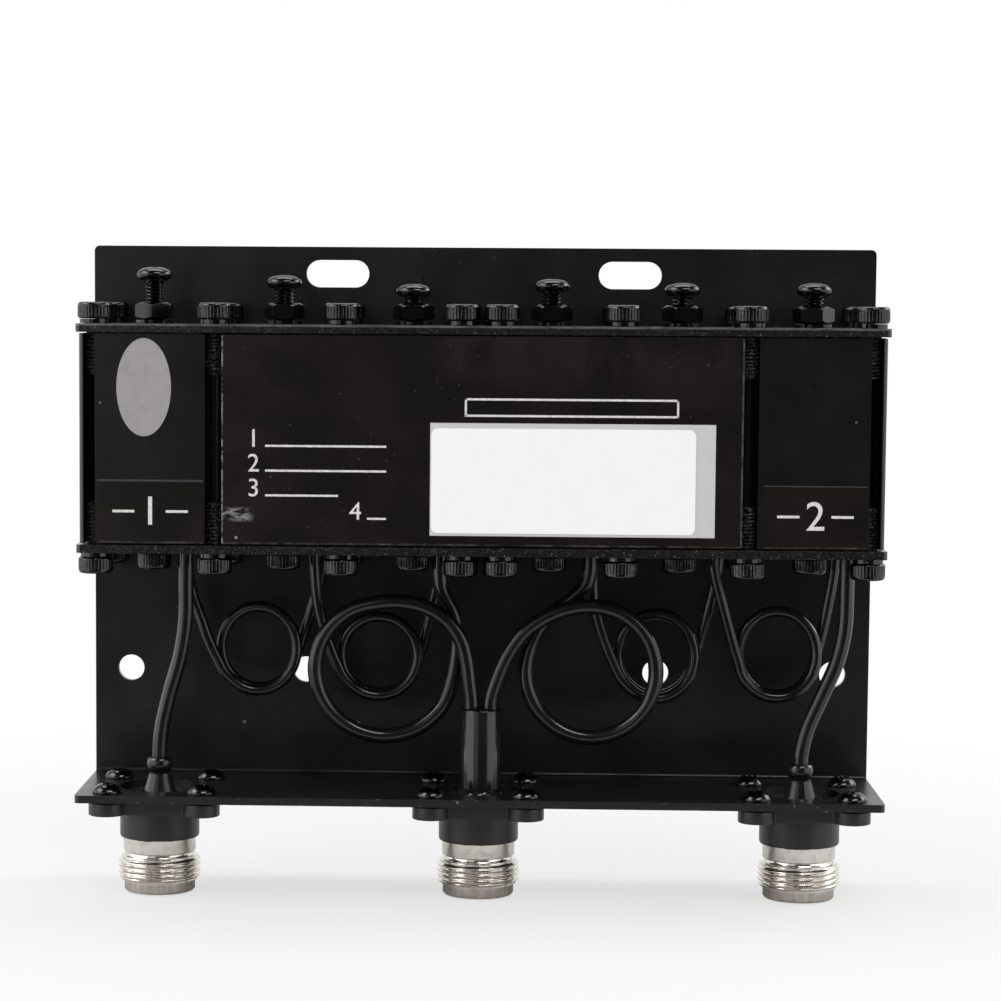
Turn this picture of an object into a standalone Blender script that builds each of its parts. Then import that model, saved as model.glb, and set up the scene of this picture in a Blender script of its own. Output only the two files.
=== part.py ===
"""Six-cavity duplexer on a folded wall bracket, in metres, +Z up, front towards -Y.

The origin is the middle of the bracket's rear face, which lies flat on a wall. Two blocks of
three round cavities stand between a bottom and a top cover, each cavity with its helix below
and its tuning screw and lock nut above. Short coaxial leads link the cavities, two formed
leads join the halves at the middle socket, and the outer sockets take one lead each.
"""
import math

import bmesh
import bpy
from mathutils import Matrix, Vector

# Clearance between faces that seat on each other, and round a piece in its hole
SEAT = 0.00025
RUNNING = 0.0003

# Bracket, one folded sheet
SHEET = 0.0015
PLATE_WIDTH = 0.155
PLATE_HEIGHT = 0.107
SHELF_DEPTH = 0.032
BEND_RADIUS = 0.0022
SHEET_CORNER = 0.001
SLOT_LENGTH = 0.0125
SLOT_WIDTH = 0.0054
SLOT_SPACING = 0.058
SLOT_DROP = 0.0053
HOLE_DIAMETER = 0.0052
OUTER_HOLE_INSET = 0.0072
INNER_HOLE_SPACING = 0.070
HOLE_RISE = 0.0225

# Filter box: two blocks of cavities between two covers
COVER_LENGTH = 0.154
COVER_FRONT = 0.032
COVER_THICKNESS = 0.0016
COVER_OVERHANG = 0.0006
COVER_CORNER = 0.001
BOX_RISE = 0.0482
BLOCK_HEIGHT = 0.0399
BLOCK_GAP = 0.0003
CAVITIES_PER_BLOCK = 3
CAVITY_WALL = 0.0022
MIDDLE_END_WALL = 0.0017
OUTER_END_WALL = 0.00115

# Cover screws in the grooves of the blocks
SCREW_ROW_INSET = 0.0034
INNER_SCREW_INSET = 0.00365
OUTER_SCREW_INSET = 0.0027
WALL_SCREW_INSET = 0.00055
SCREW_DIAMETER = 0.0039
CAP_DIAMETER = 0.0066
CAP_HEIGHT = 0.0032
CAP_CHAMFER = 0.00035
SPRING_WASHER_DIAMETER = 0.0058
SPRING_WASHER_HEIGHT = 0.0009
SCREW_REACH = 0.0096
HEX_KEY = 0.003
HEX_SOCKET_DEPTH = 0.0016
GROOVE_DIAMETER = 0.0046
GROOVE_MOUTH = 0.0026

# Tuning screws, their lock nuts and the washers under these
NUT_ACROSS_FLATS = 0.007
NUT_HEIGHT = 0.0032
NUT_WASHER_DIAMETER = 0.0072
NUT_WASHER_HEIGHT = 0.00065
TUNING_HEAD_DIAMETER = 0.0069
TUNING_HEAD_HEIGHT = 0.0027
TUNING_SHANK_LENGTH = 0.016
TUNING_HOLE_DIAMETER = 0.0048
TUNING_HEAD_LIFTS = (0.0042, 0.0028, 0.0013, 0.0024, 0.0018, 0.0019)
NUT_TURNS = (30, 0, 0, 0, 8, -10)
CROSS_WIDTH = 0.0009
CROSS_LENGTH = 0.0038
CROSS_DEPTH = 0.0013

# Resonator helix in each cavity
HELIX_DIAMETER = 0.010
HELIX_WIRE = 0.0014
HELIX_TURNS = 3
HELIX_PITCH = 0.0052
HELIX_FOOT = 0.004

# Front label plate
LABEL_WIDTH = 0.0992
LABEL_HEIGHT = 0.0382
LABEL_THICKNESS = 0.0003
LABEL_SHIFT = 0.0004
LABEL_RISE = 0.0016

# Coaxial sockets under the shelf
SOCKET_INSET = 0.015
FLANGE_SIZE = 0.0254
FLANGE_SETBACK = 0.0002
FLANGE_THICKNESS = 0.0025
FLANGE_HOLE_SPACING = 0.01826
FLANGE_WAIST = 0.020
NECK_DIAMETER = 0.0155
NECK_LENGTH = 0.0055
COLLAR_DIAMETER = 0.0141
COLLAR_LENGTH = 0.0029
UNDERCUT_DIAMETER = 0.0129
UNDERCUT_LENGTH = 0.0009
THREAD_DIAMETER = 0.015875
THREAD_LENGTH = 0.0046
NOSE_DIAMETER = 0.0138
NOSE_LENGTH = 0.0023
NOSE_CHAMFER = 0.0004
SOCKET_BORE = 0.0086
SOCKET_BORE_DEPTH = 0.009
REAR_BORE = 0.006
REAR_BORE_LENGTH = 0.0033
CONTACT_DIAMETER = 0.003
CONTACT_BORE = 0.0017
CONTACT_BORE_DEPTH = 0.004
CONTACT_RECESS = 0.0048
CONTACT_TAIL_DIAMETER = 0.0016
CONTACT_TAIL_LENGTH = 0.0017
SHELF_HOLE_DIAMETER = 0.0154
FLANGE_SCREW_HEAD_DIAMETER = 0.0056
FLANGE_SCREW_HEAD_HEIGHT = 0.0019

# Ferrules on the outer sockets and the sleeve on the middle one
CONE_DIAMETER = 0.0068
CONE_TOP_DIAMETER = 0.0044
CONE_HEIGHT = 0.0042
FERRULE_COLLAR_DIAMETER = 0.005
FERRULE_COLLAR_HEIGHT = 0.003
SLEEVE_DIAMETER = 0.0079
SLEEVE_BORE = 0.0071
SLEEVE_HEIGHT = 0.0173
SLEEVE_SHIFT = 0.0003
LEAD_END_RISE = 0.002

# Leads
PORT_LEAD = 0.003
COUPLING_LEAD = 0.0022
TWIN_LEAD_SPACING = 0.0037
COUPLING_START_DEPTH = 0.012
COUPLING_END_DEPTH = 0.0085
ANTENNA_START_DEPTH = 0.0158
COUPLING_LOOP_ANGLES = (216, 712)
COUPLING_LOOP_SPREAD = 0.0004
COUPLING_LOOP_STEP = math.radians(36)
ANTENNA_LOOP_STEP = math.radians(30)
STEPS_PER_POINT = 12

# Facets round a piece
CAVITY_SIDES = 16
SOCKET_SIDES = 16
SMALL_SIDES = 10
SCREW_SIDES = 8

# Heights
SHELF_UNDERSIDE = -PLATE_HEIGHT / 2
SHELF_TOP = SHELF_UNDERSIDE + SHEET
PLATE_TOP = PLATE_HEIGHT / 2
BOX_BOTTOM = SHELF_UNDERSIDE + BOX_RISE
BLOCK_BOTTOM = BOX_BOTTOM + COVER_THICKNESS + SEAT
BLOCK_TOP = BLOCK_BOTTOM + BLOCK_HEIGHT
TOP_COVER_BOTTOM = BLOCK_TOP + SEAT
BOX_TOP = TOP_COVER_BOTTOM + COVER_THICKNESS
NUT_BOTTOM = BOX_TOP + NUT_WASHER_HEIGHT + SEAT
NUT_TOP = NUT_BOTTOM + NUT_HEIGHT
FLANGE_TOP = SHELF_UNDERSIDE - SEAT
SOCKET_LENGTH = (FLANGE_THICKNESS + NECK_LENGTH + COLLAR_LENGTH + UNDERCUT_LENGTH
                 + THREAD_LENGTH + NOSE_LENGTH)
SOCKET_END = FLANGE_TOP - SOCKET_LENGTH
LEAD_END = FLANGE_TOP + SEAT + LEAD_END_RISE

# Depths, measured towards -Y from the rear face
BLOCK_BACK = SHEET + SEAT
BLOCK_FRONT = COVER_FRONT - COVER_OVERHANG
BLOCK_LENGTH = (COVER_LENGTH - 2 * COVER_OVERHANG - BLOCK_GAP) / 2
CAVITY_DEPTH = (BLOCK_BACK + BLOCK_FRONT) / 2
CAVITY_WALLS = MIDDLE_END_WALL + OUTER_END_WALL + (CAVITIES_PER_BLOCK - 1) * CAVITY_WALL
CAVITY_DIAMETER = (BLOCK_LENGTH - CAVITY_WALLS) / CAVITIES_PER_BLOCK
CAVITY_PITCH = CAVITY_DIAMETER + CAVITY_WALL
FRONT_ROW = BLOCK_FRONT - SCREW_ROW_INSET
BACK_ROW = BLOCK_BACK + SCREW_ROW_INSET
SOCKET_DEPTH = SHELF_DEPTH - FLANGE_SETBACK - FLANGE_SIZE / 2
SOCKET_X = PLATE_WIDTH / 2 - SOCKET_INSET
SOCKET_XS = {"low": -SOCKET_X, "antenna": 0.0, "high": SOCKET_X}


def cavity_xs():
    """Axes of the six cavities, from the low end to the high end."""
    first = BLOCK_GAP / 2 + MIDDLE_END_WALL + CAVITY_DIAMETER / 2
    right = [first + i * CAVITY_PITCH for i in range(CAVITIES_PER_BLOCK)]
    return [-x for x in reversed(right)] + right


def screw_xs():
    """Columns of the eight cover screws of one row."""
    inner = BLOCK_GAP / 2 + INNER_SCREW_INSET
    outer = BLOCK_GAP / 2 + BLOCK_LENGTH - OUTER_SCREW_INSET
    middle = (inner + outer) / 2
    beside = CAVITY_PITCH / 2 - WALL_SCREW_INSET
    right = [inner, middle - beside, middle + beside, outer]
    return [-x for x in reversed(right)] + right


# Scene, materials and small helpers
def clear_scene():
    for obj in list(bpy.data.objects):
        bpy.data.objects.remove(obj, do_unlink=True)


def new_collection(name):
    collection = bpy.data.collections.new(name)
    bpy.context.scene.collection.children.link(collection)
    return collection


def make_material(name, colour, roughness, metallic):
    material = bpy.data.materials.new(name)
    material.use_nodes = True
    shader = material.node_tree.nodes["Principled BSDF"]
    shader.inputs["Base Color"].default_value = (*colour, 1.0)
    shader.inputs["Roughness"].default_value = roughness
    shader.inputs["Metallic"].default_value = metallic
    return material


def link_object(name, data, collection):
    obj = bpy.data.objects.new(name, data)
    collection.objects.link(obj)
    return obj


def as_cutter(obj):
    obj.hide_render = True
    obj.display_type = "WIRE"
    return obj


def finished_mesh(obj, name):
    """The evaluated mesh of an object in world space, with loose caps welded."""
    depsgraph = bpy.context.evaluated_depsgraph_get()
    mesh = bpy.data.meshes.new_from_object(obj.evaluated_get(depsgraph))
    mesh.name = name
    mesh.transform(obj.matrix_world)
    bm = bmesh.new()
    bm.from_mesh(mesh)
    bmesh.ops.remove_doubles(bm, verts=bm.verts, dist=1e-6)
    bm.to_mesh(mesh)
    bm.free()
    return mesh


def baked(obj, name, collection):
    """Replace an object by a plain mesh object of its evaluated shape."""
    bpy.context.view_layer.update()
    mesh = finished_mesh(obj, name)
    bpy.data.objects.remove(obj, do_unlink=True)
    return link_object(name, mesh, collection)


def boolean(obj, tools, operation):
    for tool in tools:
        modifier = obj.modifiers.new(operation.lower(), "BOOLEAN")
        modifier.operation = operation
        modifier.solver = "EXACT"
        modifier.object = tool


def finish(obj, material, smooth=True):
    obj.data.materials.clear()
    obj.data.materials.append(material)
    if smooth:
        obj.data.shade_smooth()
        obj.data.set_sharp_from_angle(angle=math.radians(35))
    return obj


def turned(name, profile, sides, collection, closed=False):
    """A turned piece: profile of (radius, height) down its outer side, top to bottom."""
    mesh = bpy.data.meshes.new(name)
    bm = bmesh.new()
    verts = [bm.verts.new((radius, 0.0, height)) for radius, height in profile]
    for first, second in zip(verts, verts[1:]):
        bm.edges.new((first, second))
    if closed:
        bm.edges.new((verts[-1], verts[0]))
    bm.to_mesh(mesh)
    bm.free()
    obj = link_object(name, mesh, collection)
    screw = obj.modifiers.new("turn", "SCREW")
    screw.axis = "Z"
    screw.angle = math.tau
    screw.steps = sides
    screw.render_steps = sides
    screw.use_merge_vertices = True
    screw.merge_threshold = 0.000001
    return obj


def outline_solid(name, loops, low, high, collection):
    """A flat outline in X and Y, its first loop outside and the others holes, between two heights."""
    curve = bpy.data.curves.new(name, "CURVE")
    curve.dimensions = "2D"
    curve.fill_mode = "BOTH"
    curve.extrude = (high - low) / 2
    for loop in loops:
        spline = curve.splines.new("POLY")
        spline.points.add(len(loop) - 1)
        for point, (x, y) in zip(spline.points, loop):
            point.co = (x, y, 0.0, 1.0)
        spline.use_cyclic_u = True
    obj = link_object(name, curve, collection)
    obj.location.z = (high + low) / 2
    return baked(obj, name, collection)


def cylinder(name, place, radius, low, high, sides, collection):
    """An upright cylinder between two heights, its axis through place."""
    mesh = bpy.data.meshes.new(name)
    bm = bmesh.new()
    bmesh.ops.create_cone(bm, cap_ends=True, segments=sides, radius1=radius, radius2=radius,
                          depth=high - low, matrix=Matrix.Translation((0, 0, (low + high) / 2)))
    bm.to_mesh(mesh)
    bm.free()
    obj = link_object(name, mesh, collection)
    obj.location = (*place, 0)
    return obj


def box(name, size, centre, collection):
    mesh = bpy.data.meshes.new(name)
    bm = bmesh.new()
    bmesh.ops.create_cube(bm, size=1.0, matrix=Matrix.Diagonal((*size, 1.0)))
    bm.to_mesh(mesh)
    bm.free()
    obj = link_object(name, mesh, collection)
    obj.location = centre
    return obj


def arc(x, y, radius, start, end, steps):
    """Points on an arc, angles in degrees, both ends included."""
    points = []
    for i in range(steps + 1):
        angle = math.radians(start + (end - start) * i / steps)
        points.append((x + radius * math.cos(angle), y + radius * math.sin(angle)))
    return points


def circle(x, y, radius, sides):
    return arc(x, y, radius, 0, 360, sides)[:-1]


def rounded_box(x0, x1, y0, y1, radius, steps):
    return (arc(x1 - radius, y0 + radius, radius, -90, 0, steps)
            + arc(x1 - radius, y1 - radius, radius, 0, 90, steps)
            + arc(x0 + radius, y1 - radius, radius, 90, 180, steps)
            + arc(x0 + radius, y0 + radius, radius, 180, 270, steps))


def smooth_route(points, spacing):
    """Points at an even spacing on a smooth curve through the given ones."""
    route = [Vector(p) for p in points]
    ends = [2 * route[0] - route[1]] + route + [2 * route[-1] - route[-2]]
    fine = []
    for a, b, c, d in zip(ends, ends[1:], ends[2:], ends[3:]):
        before, here, after = ((q - p).length ** 0.5 for p, q in ((a, b), (b, c), (c, d)))
        leaving = (b - a) * (here / before) ** 2 + (c - b)
        leaving = leaving * before / (before + here)
        reaching = (c - b) + (d - c) * (here / after) ** 2
        reaching = reaching * after / (here + after)
        for i in range(STEPS_PER_POINT):
            t = i / STEPS_PER_POINT
            fine.append(b + leaving * t + (3 * (c - b) - 2 * leaving - reaching) * t ** 2
                        + (leaving + reaching - 2 * (c - b)) * t ** 3)
    fine.append(route[-1])
    lengths = [0.0]
    for first, second in zip(fine, fine[1:]):
        lengths.append(lengths[-1] + (second - first).length)
    count = max(2, round(lengths[-1] / spacing))
    even = []
    for i in range(count + 1):
        wanted = lengths[-1] * i / count
        at = max(k for k in range(len(fine) - 1) if lengths[k] <= wanted + 1e-12)
        share = (wanted - lengths[at]) / (lengths[at + 1] - lengths[at])
        even.append(fine[at].lerp(fine[at + 1], min(share, 1.0)))
    return even


def tube(name, points, diameter, collection, resolution=2):
    """A lead or wire along points, with flat closed ends."""
    curve = bpy.data.curves.new(name, "CURVE")
    curve.dimensions = "3D"
    curve.bevel_depth = diameter / 2
    curve.bevel_resolution = resolution
    curve.use_fill_caps = True
    spline = curve.splines.new("POLY")
    spline.points.add(len(points) - 1)
    for point, place in zip(spline.points, points):
        point.co = (*place, 1.0)
    obj = link_object(name, curve, collection)
    return baked(obj, name, collection)


def placed_copies(source, names_and_places, collection):
    """One object for each name and place, sharing the source's mesh."""
    copies = []
    for name, place in names_and_places:
        copy = link_object(name, source.data, collection)
        copy.location = place
        copies.append(copy)
    bpy.data.objects.remove(source, do_unlink=True)
    return copies


# Bracket
def build_bracket(parts, cutters):
    """The folded sheet: back plate, bend and shelf, with the flange screws' heads in the shelf."""
    inner = BEND_RADIUS - SHEET
    profile = [(0.0, PLATE_TOP)]
    profile += arc(-BEND_RADIUS, SHELF_UNDERSIDE + BEND_RADIUS, BEND_RADIUS, 0, -90, 4)
    profile += [(-SHELF_DEPTH, SHELF_UNDERSIDE), (-SHELF_DEPTH, SHELF_TOP)]
    profile += arc(-BEND_RADIUS, SHELF_UNDERSIDE + BEND_RADIUS, inner, -90, 0, 2)
    profile += [(-SHEET, PLATE_TOP)]
    sheet = outline_solid("sheet", [profile], -PLATE_WIDTH / 2, PLATE_WIDTH / 2, parts)
    sheet.data.transform(Matrix(((0, 0, 1, 0), (1, 0, 0, 0), (0, 1, 0, 0), (0, 0, 0, 1))))
    round_sheet_corners(sheet.data)
    holes = []
    for side in (-1, 1):
        x = side * SLOT_SPACING / 2
        half = (SLOT_LENGTH - SLOT_WIDTH) / 2
        slot = (arc(x + half, 0, SLOT_WIDTH / 2, -90, 90, 6)
                + arc(x - half, 0, SLOT_WIDTH / 2, 90, 270, 6))
        holes.append(upright_cutter(slot, PLATE_TOP - SLOT_DROP, cutters))
        for hole_x in (PLATE_WIDTH / 2 - OUTER_HOLE_INSET, INNER_HOLE_SPACING / 2):
            ring = circle(side * hole_x, 0, HOLE_DIAMETER / 2, SMALL_SIDES)
            holes.append(upright_cutter(ring, SHELF_UNDERSIDE + HOLE_RISE, cutters))
    for x in SOCKET_XS.values():
        hole = cylinder("shelf_hole", (x, -SOCKET_DEPTH), SHELF_HOLE_DIAMETER / 2,
                        SHELF_UNDERSIDE - SHEET, SHELF_TOP + SHEET, SOCKET_SIDES, cutters)
        holes.append(as_cutter(hole))
    boolean(sheet, holes, "DIFFERENCE")
    boolean(sheet, flange_screw_heads(cutters), "UNION")
    return baked(sheet, "mounting_bracket", parts)


def round_sheet_corners(mesh):
    """Round the plate's two upper corners and the shelf's two front ones."""
    bm = bmesh.new()
    bm.from_mesh(mesh)
    corners = []
    for edge in bm.edges:
        a, b = (v.co for v in edge.verts)
        at_top = min(a.z, b.z) > PLATE_TOP - 1e-5 and abs(a.y - b.y) > SHEET / 2
        at_front = max(a.y, b.y) < 1e-5 - SHELF_DEPTH and abs(a.z - b.z) > SHEET / 2
        if abs(a.x - b.x) < 1e-6 and (at_top or at_front):
            corners.append(edge)
    bmesh.ops.bevel(bm, geom=corners, offset=SHEET_CORNER, segments=3, profile=0.5, affect="EDGES")
    bm.to_mesh(mesh)
    bm.free()


def upright_cutter(loop, height, cutters):
    """A cutter through the back plate: the loop is drawn in X and Z about the height."""
    cutter = outline_solid("plate_hole", [loop], -2 * SHEET, SHEET, cutters)
    cutter.data.transform(Matrix(((1, 0, 0, 0), (0, 0, 1, 0), (0, -1, 0, height), (0, 0, 0, 1))))
    return as_cutter(cutter)


def flange_screw_heads(cutters):
    heads = []
    radius = FLANGE_SCREW_HEAD_DIAMETER / 2
    for x in SOCKET_XS.values():
        for dx in (-1, 1):
            for dy in (-1, 1):
                profile = [(0, SHELF_TOP + FLANGE_SCREW_HEAD_HEIGHT),
                           (0.7 * radius, SHELF_TOP + 0.85 * FLANGE_SCREW_HEAD_HEIGHT),
                           (radius, SHELF_TOP), (radius, SHELF_TOP - SHEET / 2),
                           (0, SHELF_TOP - SHEET / 2)]
                head = turned("flange_screw", profile, SCREW_SIDES, cutters)
                head.location = (x + dx * FLANGE_HOLE_SPACING / 2,
                                 dy * FLANGE_HOLE_SPACING / 2 - SOCKET_DEPTH, 0)
                heads.append(as_cutter(head))
    return heads


# Filter box
def build_block(name, side, parts):
    """One extruded block: three round cavities and the screw grooves along its long faces."""
    x0 = BLOCK_GAP / 2 if side > 0 else -BLOCK_GAP / 2 - BLOCK_LENGTH
    x1 = x0 + BLOCK_LENGTH
    columns = [x for x in screw_xs() if x0 < x < x1]
    outline = [(x0, -BLOCK_FRONT)]
    for x in columns:
        outline += groove(x, -FRONT_ROW, -BLOCK_FRONT)
    outline += [(x1, -BLOCK_FRONT), (x1, -BLOCK_BACK)]
    for x in reversed(columns):
        outline += groove(x, -BACK_ROW, -BLOCK_BACK)
    outline += [(x0, -BLOCK_BACK)]
    cavities = [circle(x, -CAVITY_DEPTH, CAVITY_DIAMETER / 2, CAVITY_SIDES)
                for x in cavity_xs() if x0 < x < x1]
    return outline_solid(name, [outline] + cavities, BLOCK_BOTTOM, BLOCK_TOP, parts)


def groove(x, y_axis, y_face):
    """Points of one screw groove: a round channel with a narrower mouth in the face."""
    radius = GROOVE_DIAMETER / 2
    opening = math.degrees(math.asin(GROOVE_MOUTH / GROOVE_DIAMETER))
    towards = -90 if y_face < y_axis else 90
    channel = arc(x, y_axis, radius, towards - opening, towards - 360 + opening, 6)
    first = channel[0][0]
    last = channel[-1][0]
    return [(first, y_face)] + channel + [(last, y_face)]


def build_top_cover(parts, cutters):
    """The top cover with the lock nuts' washers standing on it."""
    cover = outline_solid("cover", [cover_outline()], TOP_COVER_BOTTOM, BOX_TOP, parts)
    washers = []
    bores = []
    for x in cavity_xs():
        place = (x, -CAVITY_DEPTH)
        washers.append(cylinder("nut_washer", place, NUT_WASHER_DIAMETER / 2, BOX_TOP - COVER_THICKNESS / 2,
                                BOX_TOP + NUT_WASHER_HEIGHT, SMALL_SIDES, cutters))
        bores.append(cylinder("tuning_bore", place, TUNING_HOLE_DIAMETER / 2, BLOCK_TOP - SHEET,
                              NUT_TOP, SMALL_SIDES, cutters))
    for x in screw_xs():
        for row in (FRONT_ROW, BACK_ROW):
            bores.append(cylinder("screw_bore", (x, -row), SCREW_DIAMETER / 2 + RUNNING,
                                  BLOCK_TOP - SHEET, NUT_TOP, SCREW_SIDES, cutters))
    boolean(cover, [as_cutter(washer) for washer in washers], "UNION")
    boolean(cover, [as_cutter(bore) for bore in bores], "DIFFERENCE")
    return baked(cover, "top_cover", parts)


def cover_outline():
    half = COVER_LENGTH / 2
    return rounded_box(-half, half, -COVER_FRONT, -BLOCK_BACK, COVER_CORNER, 2)


def build_bottom_cover(parts, cutters):
    """The bottom cover with its screws driven home, and the holes where the leads come out."""
    top = BOX_BOTTOM + COVER_THICKNESS
    cover = outline_solid("cover", [cover_outline()], BOX_BOTTOM, top, parts)
    holes = [cylinder("lead_hole", (x, -depth), diameter / 2 + RUNNING, BOX_BOTTOM - COVER_THICKNESS,
                      top + COVER_THICKNESS, SCREW_SIDES, cutters) for x, depth, diameter in lead_exits()]
    screws = []
    for x in screw_xs():
        screws.append(bottom_screw(x, -FRONT_ROW, SCREW_REACH, cutters))
        screws.append(bottom_screw(x, -BACK_ROW, 0, cutters))
    for x in cavity_xs():
        screws.append(bottom_screw(x, -CAVITY_DEPTH, 0, cutters))
    boolean(cover, [as_cutter(hole) for hole in holes], "DIFFERENCE")
    boolean(cover, [as_cutter(screw) for screw in screws], "UNION")
    return baked(cover, "bottom_cover", parts)


def bottom_screw(x, y, reach, cutters):
    """A screw from below with its spring washer; its shank shows only in the front grooves."""
    inside = COVER_THICKNESS / 2
    head_bottom = -SPRING_WASHER_HEIGHT - CAP_HEIGHT
    profile = [(SPRING_WASHER_DIAMETER / 2, inside), (SPRING_WASHER_DIAMETER / 2, -SPRING_WASHER_HEIGHT),
               (CAP_DIAMETER / 2, -SPRING_WASHER_HEIGHT), (CAP_DIAMETER / 2, head_bottom), (0, head_bottom)]
    if reach:
        profile = [(0, reach), (SCREW_DIAMETER / 2, reach), (SCREW_DIAMETER / 2, inside)] + profile
    else:
        profile = [(0, inside)] + profile
    screw = turned("bottom_screw", profile, SCREW_SIDES, cutters)
    screw.location = (x, y, BOX_BOTTOM)
    return screw


def build_cover_screws(parts, cutters):
    """The sixteen screws of the top cover, each with its spring washer under the head."""
    head_bottom = SPRING_WASHER_HEIGHT
    head_top = head_bottom + CAP_HEIGHT
    tip = -SCREW_REACH
    profile = [(0, head_top), (CAP_DIAMETER / 2 - CAP_CHAMFER, head_top),
               (CAP_DIAMETER / 2, head_top - CAP_CHAMFER), (CAP_DIAMETER / 2, head_bottom),
               (SPRING_WASHER_DIAMETER / 2, head_bottom), (SPRING_WASHER_DIAMETER / 2, 0),
               (SCREW_DIAMETER / 2, 0), (SCREW_DIAMETER / 2, tip), (0, tip)]
    screw = turned("cap_screw", profile, SCREW_SIDES, parts)
    key = circle(0, 0, HEX_KEY / math.sqrt(3), 6)
    socket = outline_solid("hex_socket", [key], head_top - HEX_SOCKET_DEPTH,
                           head_top + HEX_SOCKET_DEPTH, cutters)
    boolean(screw, [as_cutter(socket)], "DIFFERENCE")
    screw = baked(screw, "cap_screw", parts)
    places = []
    for row, depth in (("front", FRONT_ROW), ("back", BACK_ROW)):
        for i, x in enumerate(screw_xs()):
            places.append((f"cover_screw_{row}_{i + 1}", (x, -depth, BOX_TOP + SEAT)))
    return placed_copies(screw, places, parts)


def build_label(parts):
    size = (LABEL_WIDTH, LABEL_THICKNESS, LABEL_HEIGHT)
    centre = (LABEL_SHIFT, -BLOCK_FRONT - SEAT - LABEL_THICKNESS / 2,
              BLOCK_BOTTOM + LABEL_RISE + LABEL_HEIGHT / 2)
    return box("front_label_plate", size, centre, parts)


# Tuning
def build_tuning(parts, cutters):
    """Six tuning screws at their set heights, and their lock nuts."""
    radius = TUNING_HEAD_DIAMETER / 2
    shank = SCREW_DIAMETER / 2
    profile = [(0, TUNING_HEAD_HEIGHT), (0.6 * radius, 0.87 * TUNING_HEAD_HEIGHT),
               (radius, 0.42 * TUNING_HEAD_HEIGHT), (0.92 * radius, 0), (shank, 0),
               (shank, -TUNING_SHANK_LENGTH), (0, -TUNING_SHANK_LENGTH)]
    screw = turned("tuning_screw", profile, SMALL_SIDES, parts)
    arms = [box("recess_arm", (width, length, 2 * CROSS_DEPTH), (0, 0, TUNING_HEAD_HEIGHT), cutters)
            for width, length in ((CROSS_WIDTH, CROSS_LENGTH), (CROSS_LENGTH, CROSS_WIDTH))]
    boolean(screw, [as_cutter(arm) for arm in arms], "DIFFERENCE")
    screw = baked(screw, "tuning_screw", parts)
    places = [(f"tuning_screw_{i + 1}", (x, -CAVITY_DEPTH, NUT_TOP + lift))
              for i, (x, lift) in enumerate(zip(cavity_xs(), TUNING_HEAD_LIFTS))]
    screws = placed_copies(screw, places, parts)

    hexagon = circle(0, 0, NUT_ACROSS_FLATS / math.sqrt(3), 6)
    bore = circle(0, 0, shank + RUNNING, SMALL_SIDES)
    nut = outline_solid("lock_nut", [hexagon, bore], 0, NUT_HEIGHT, parts)
    places = [(f"lock_nut_{i + 1}", (x, -CAVITY_DEPTH, NUT_BOTTOM)) for i, x in enumerate(cavity_xs())]
    nuts = placed_copies(nut, places, parts)
    for nut, turn in zip(nuts, NUT_TURNS):
        nut.rotation_euler.z = math.radians(turn)
    return screws, nuts


def build_helices(parts):
    """One wire helix in each cavity, its foot standing on the bottom cover."""
    steps = 7
    foot = BOX_BOTTOM + COVER_THICKNESS + SEAT
    points = [Vector((HELIX_DIAMETER / 2, 0, foot))]
    for i in range(HELIX_TURNS * steps + 1):
        turn = i / steps
        angle = math.tau * turn
        points.append(Vector((HELIX_DIAMETER / 2 * math.cos(angle), HELIX_DIAMETER / 2 * math.sin(angle),
                              foot + HELIX_FOOT + HELIX_PITCH * turn)))
    helix = tube("helix", points, HELIX_WIRE, parts, resolution=0)
    places = [(f"resonator_helix_{i + 1}", (x, -CAVITY_DEPTH, 0)) for i, x in enumerate(cavity_xs())]
    return placed_copies(helix, places, parts)


# Sockets
def flange_outline():
    """Square waist with a round ear about each screw hole."""
    waist = FLANGE_WAIST / 2
    hole = FLANGE_HOLE_SPACING / 2
    ear = FLANGE_SIZE / 2 - hole
    sweep = math.degrees(math.asin((waist - hole) / ear))
    points = []
    for quarter in range(4):
        turn = math.radians(90 * quarter)
        for x, y in arc(hole, hole, ear, sweep - 90, 180 - sweep, 6):
            points.append((x * math.cos(turn) - y * math.sin(turn), x * math.sin(turn) + y * math.cos(turn)))
    return points


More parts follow.
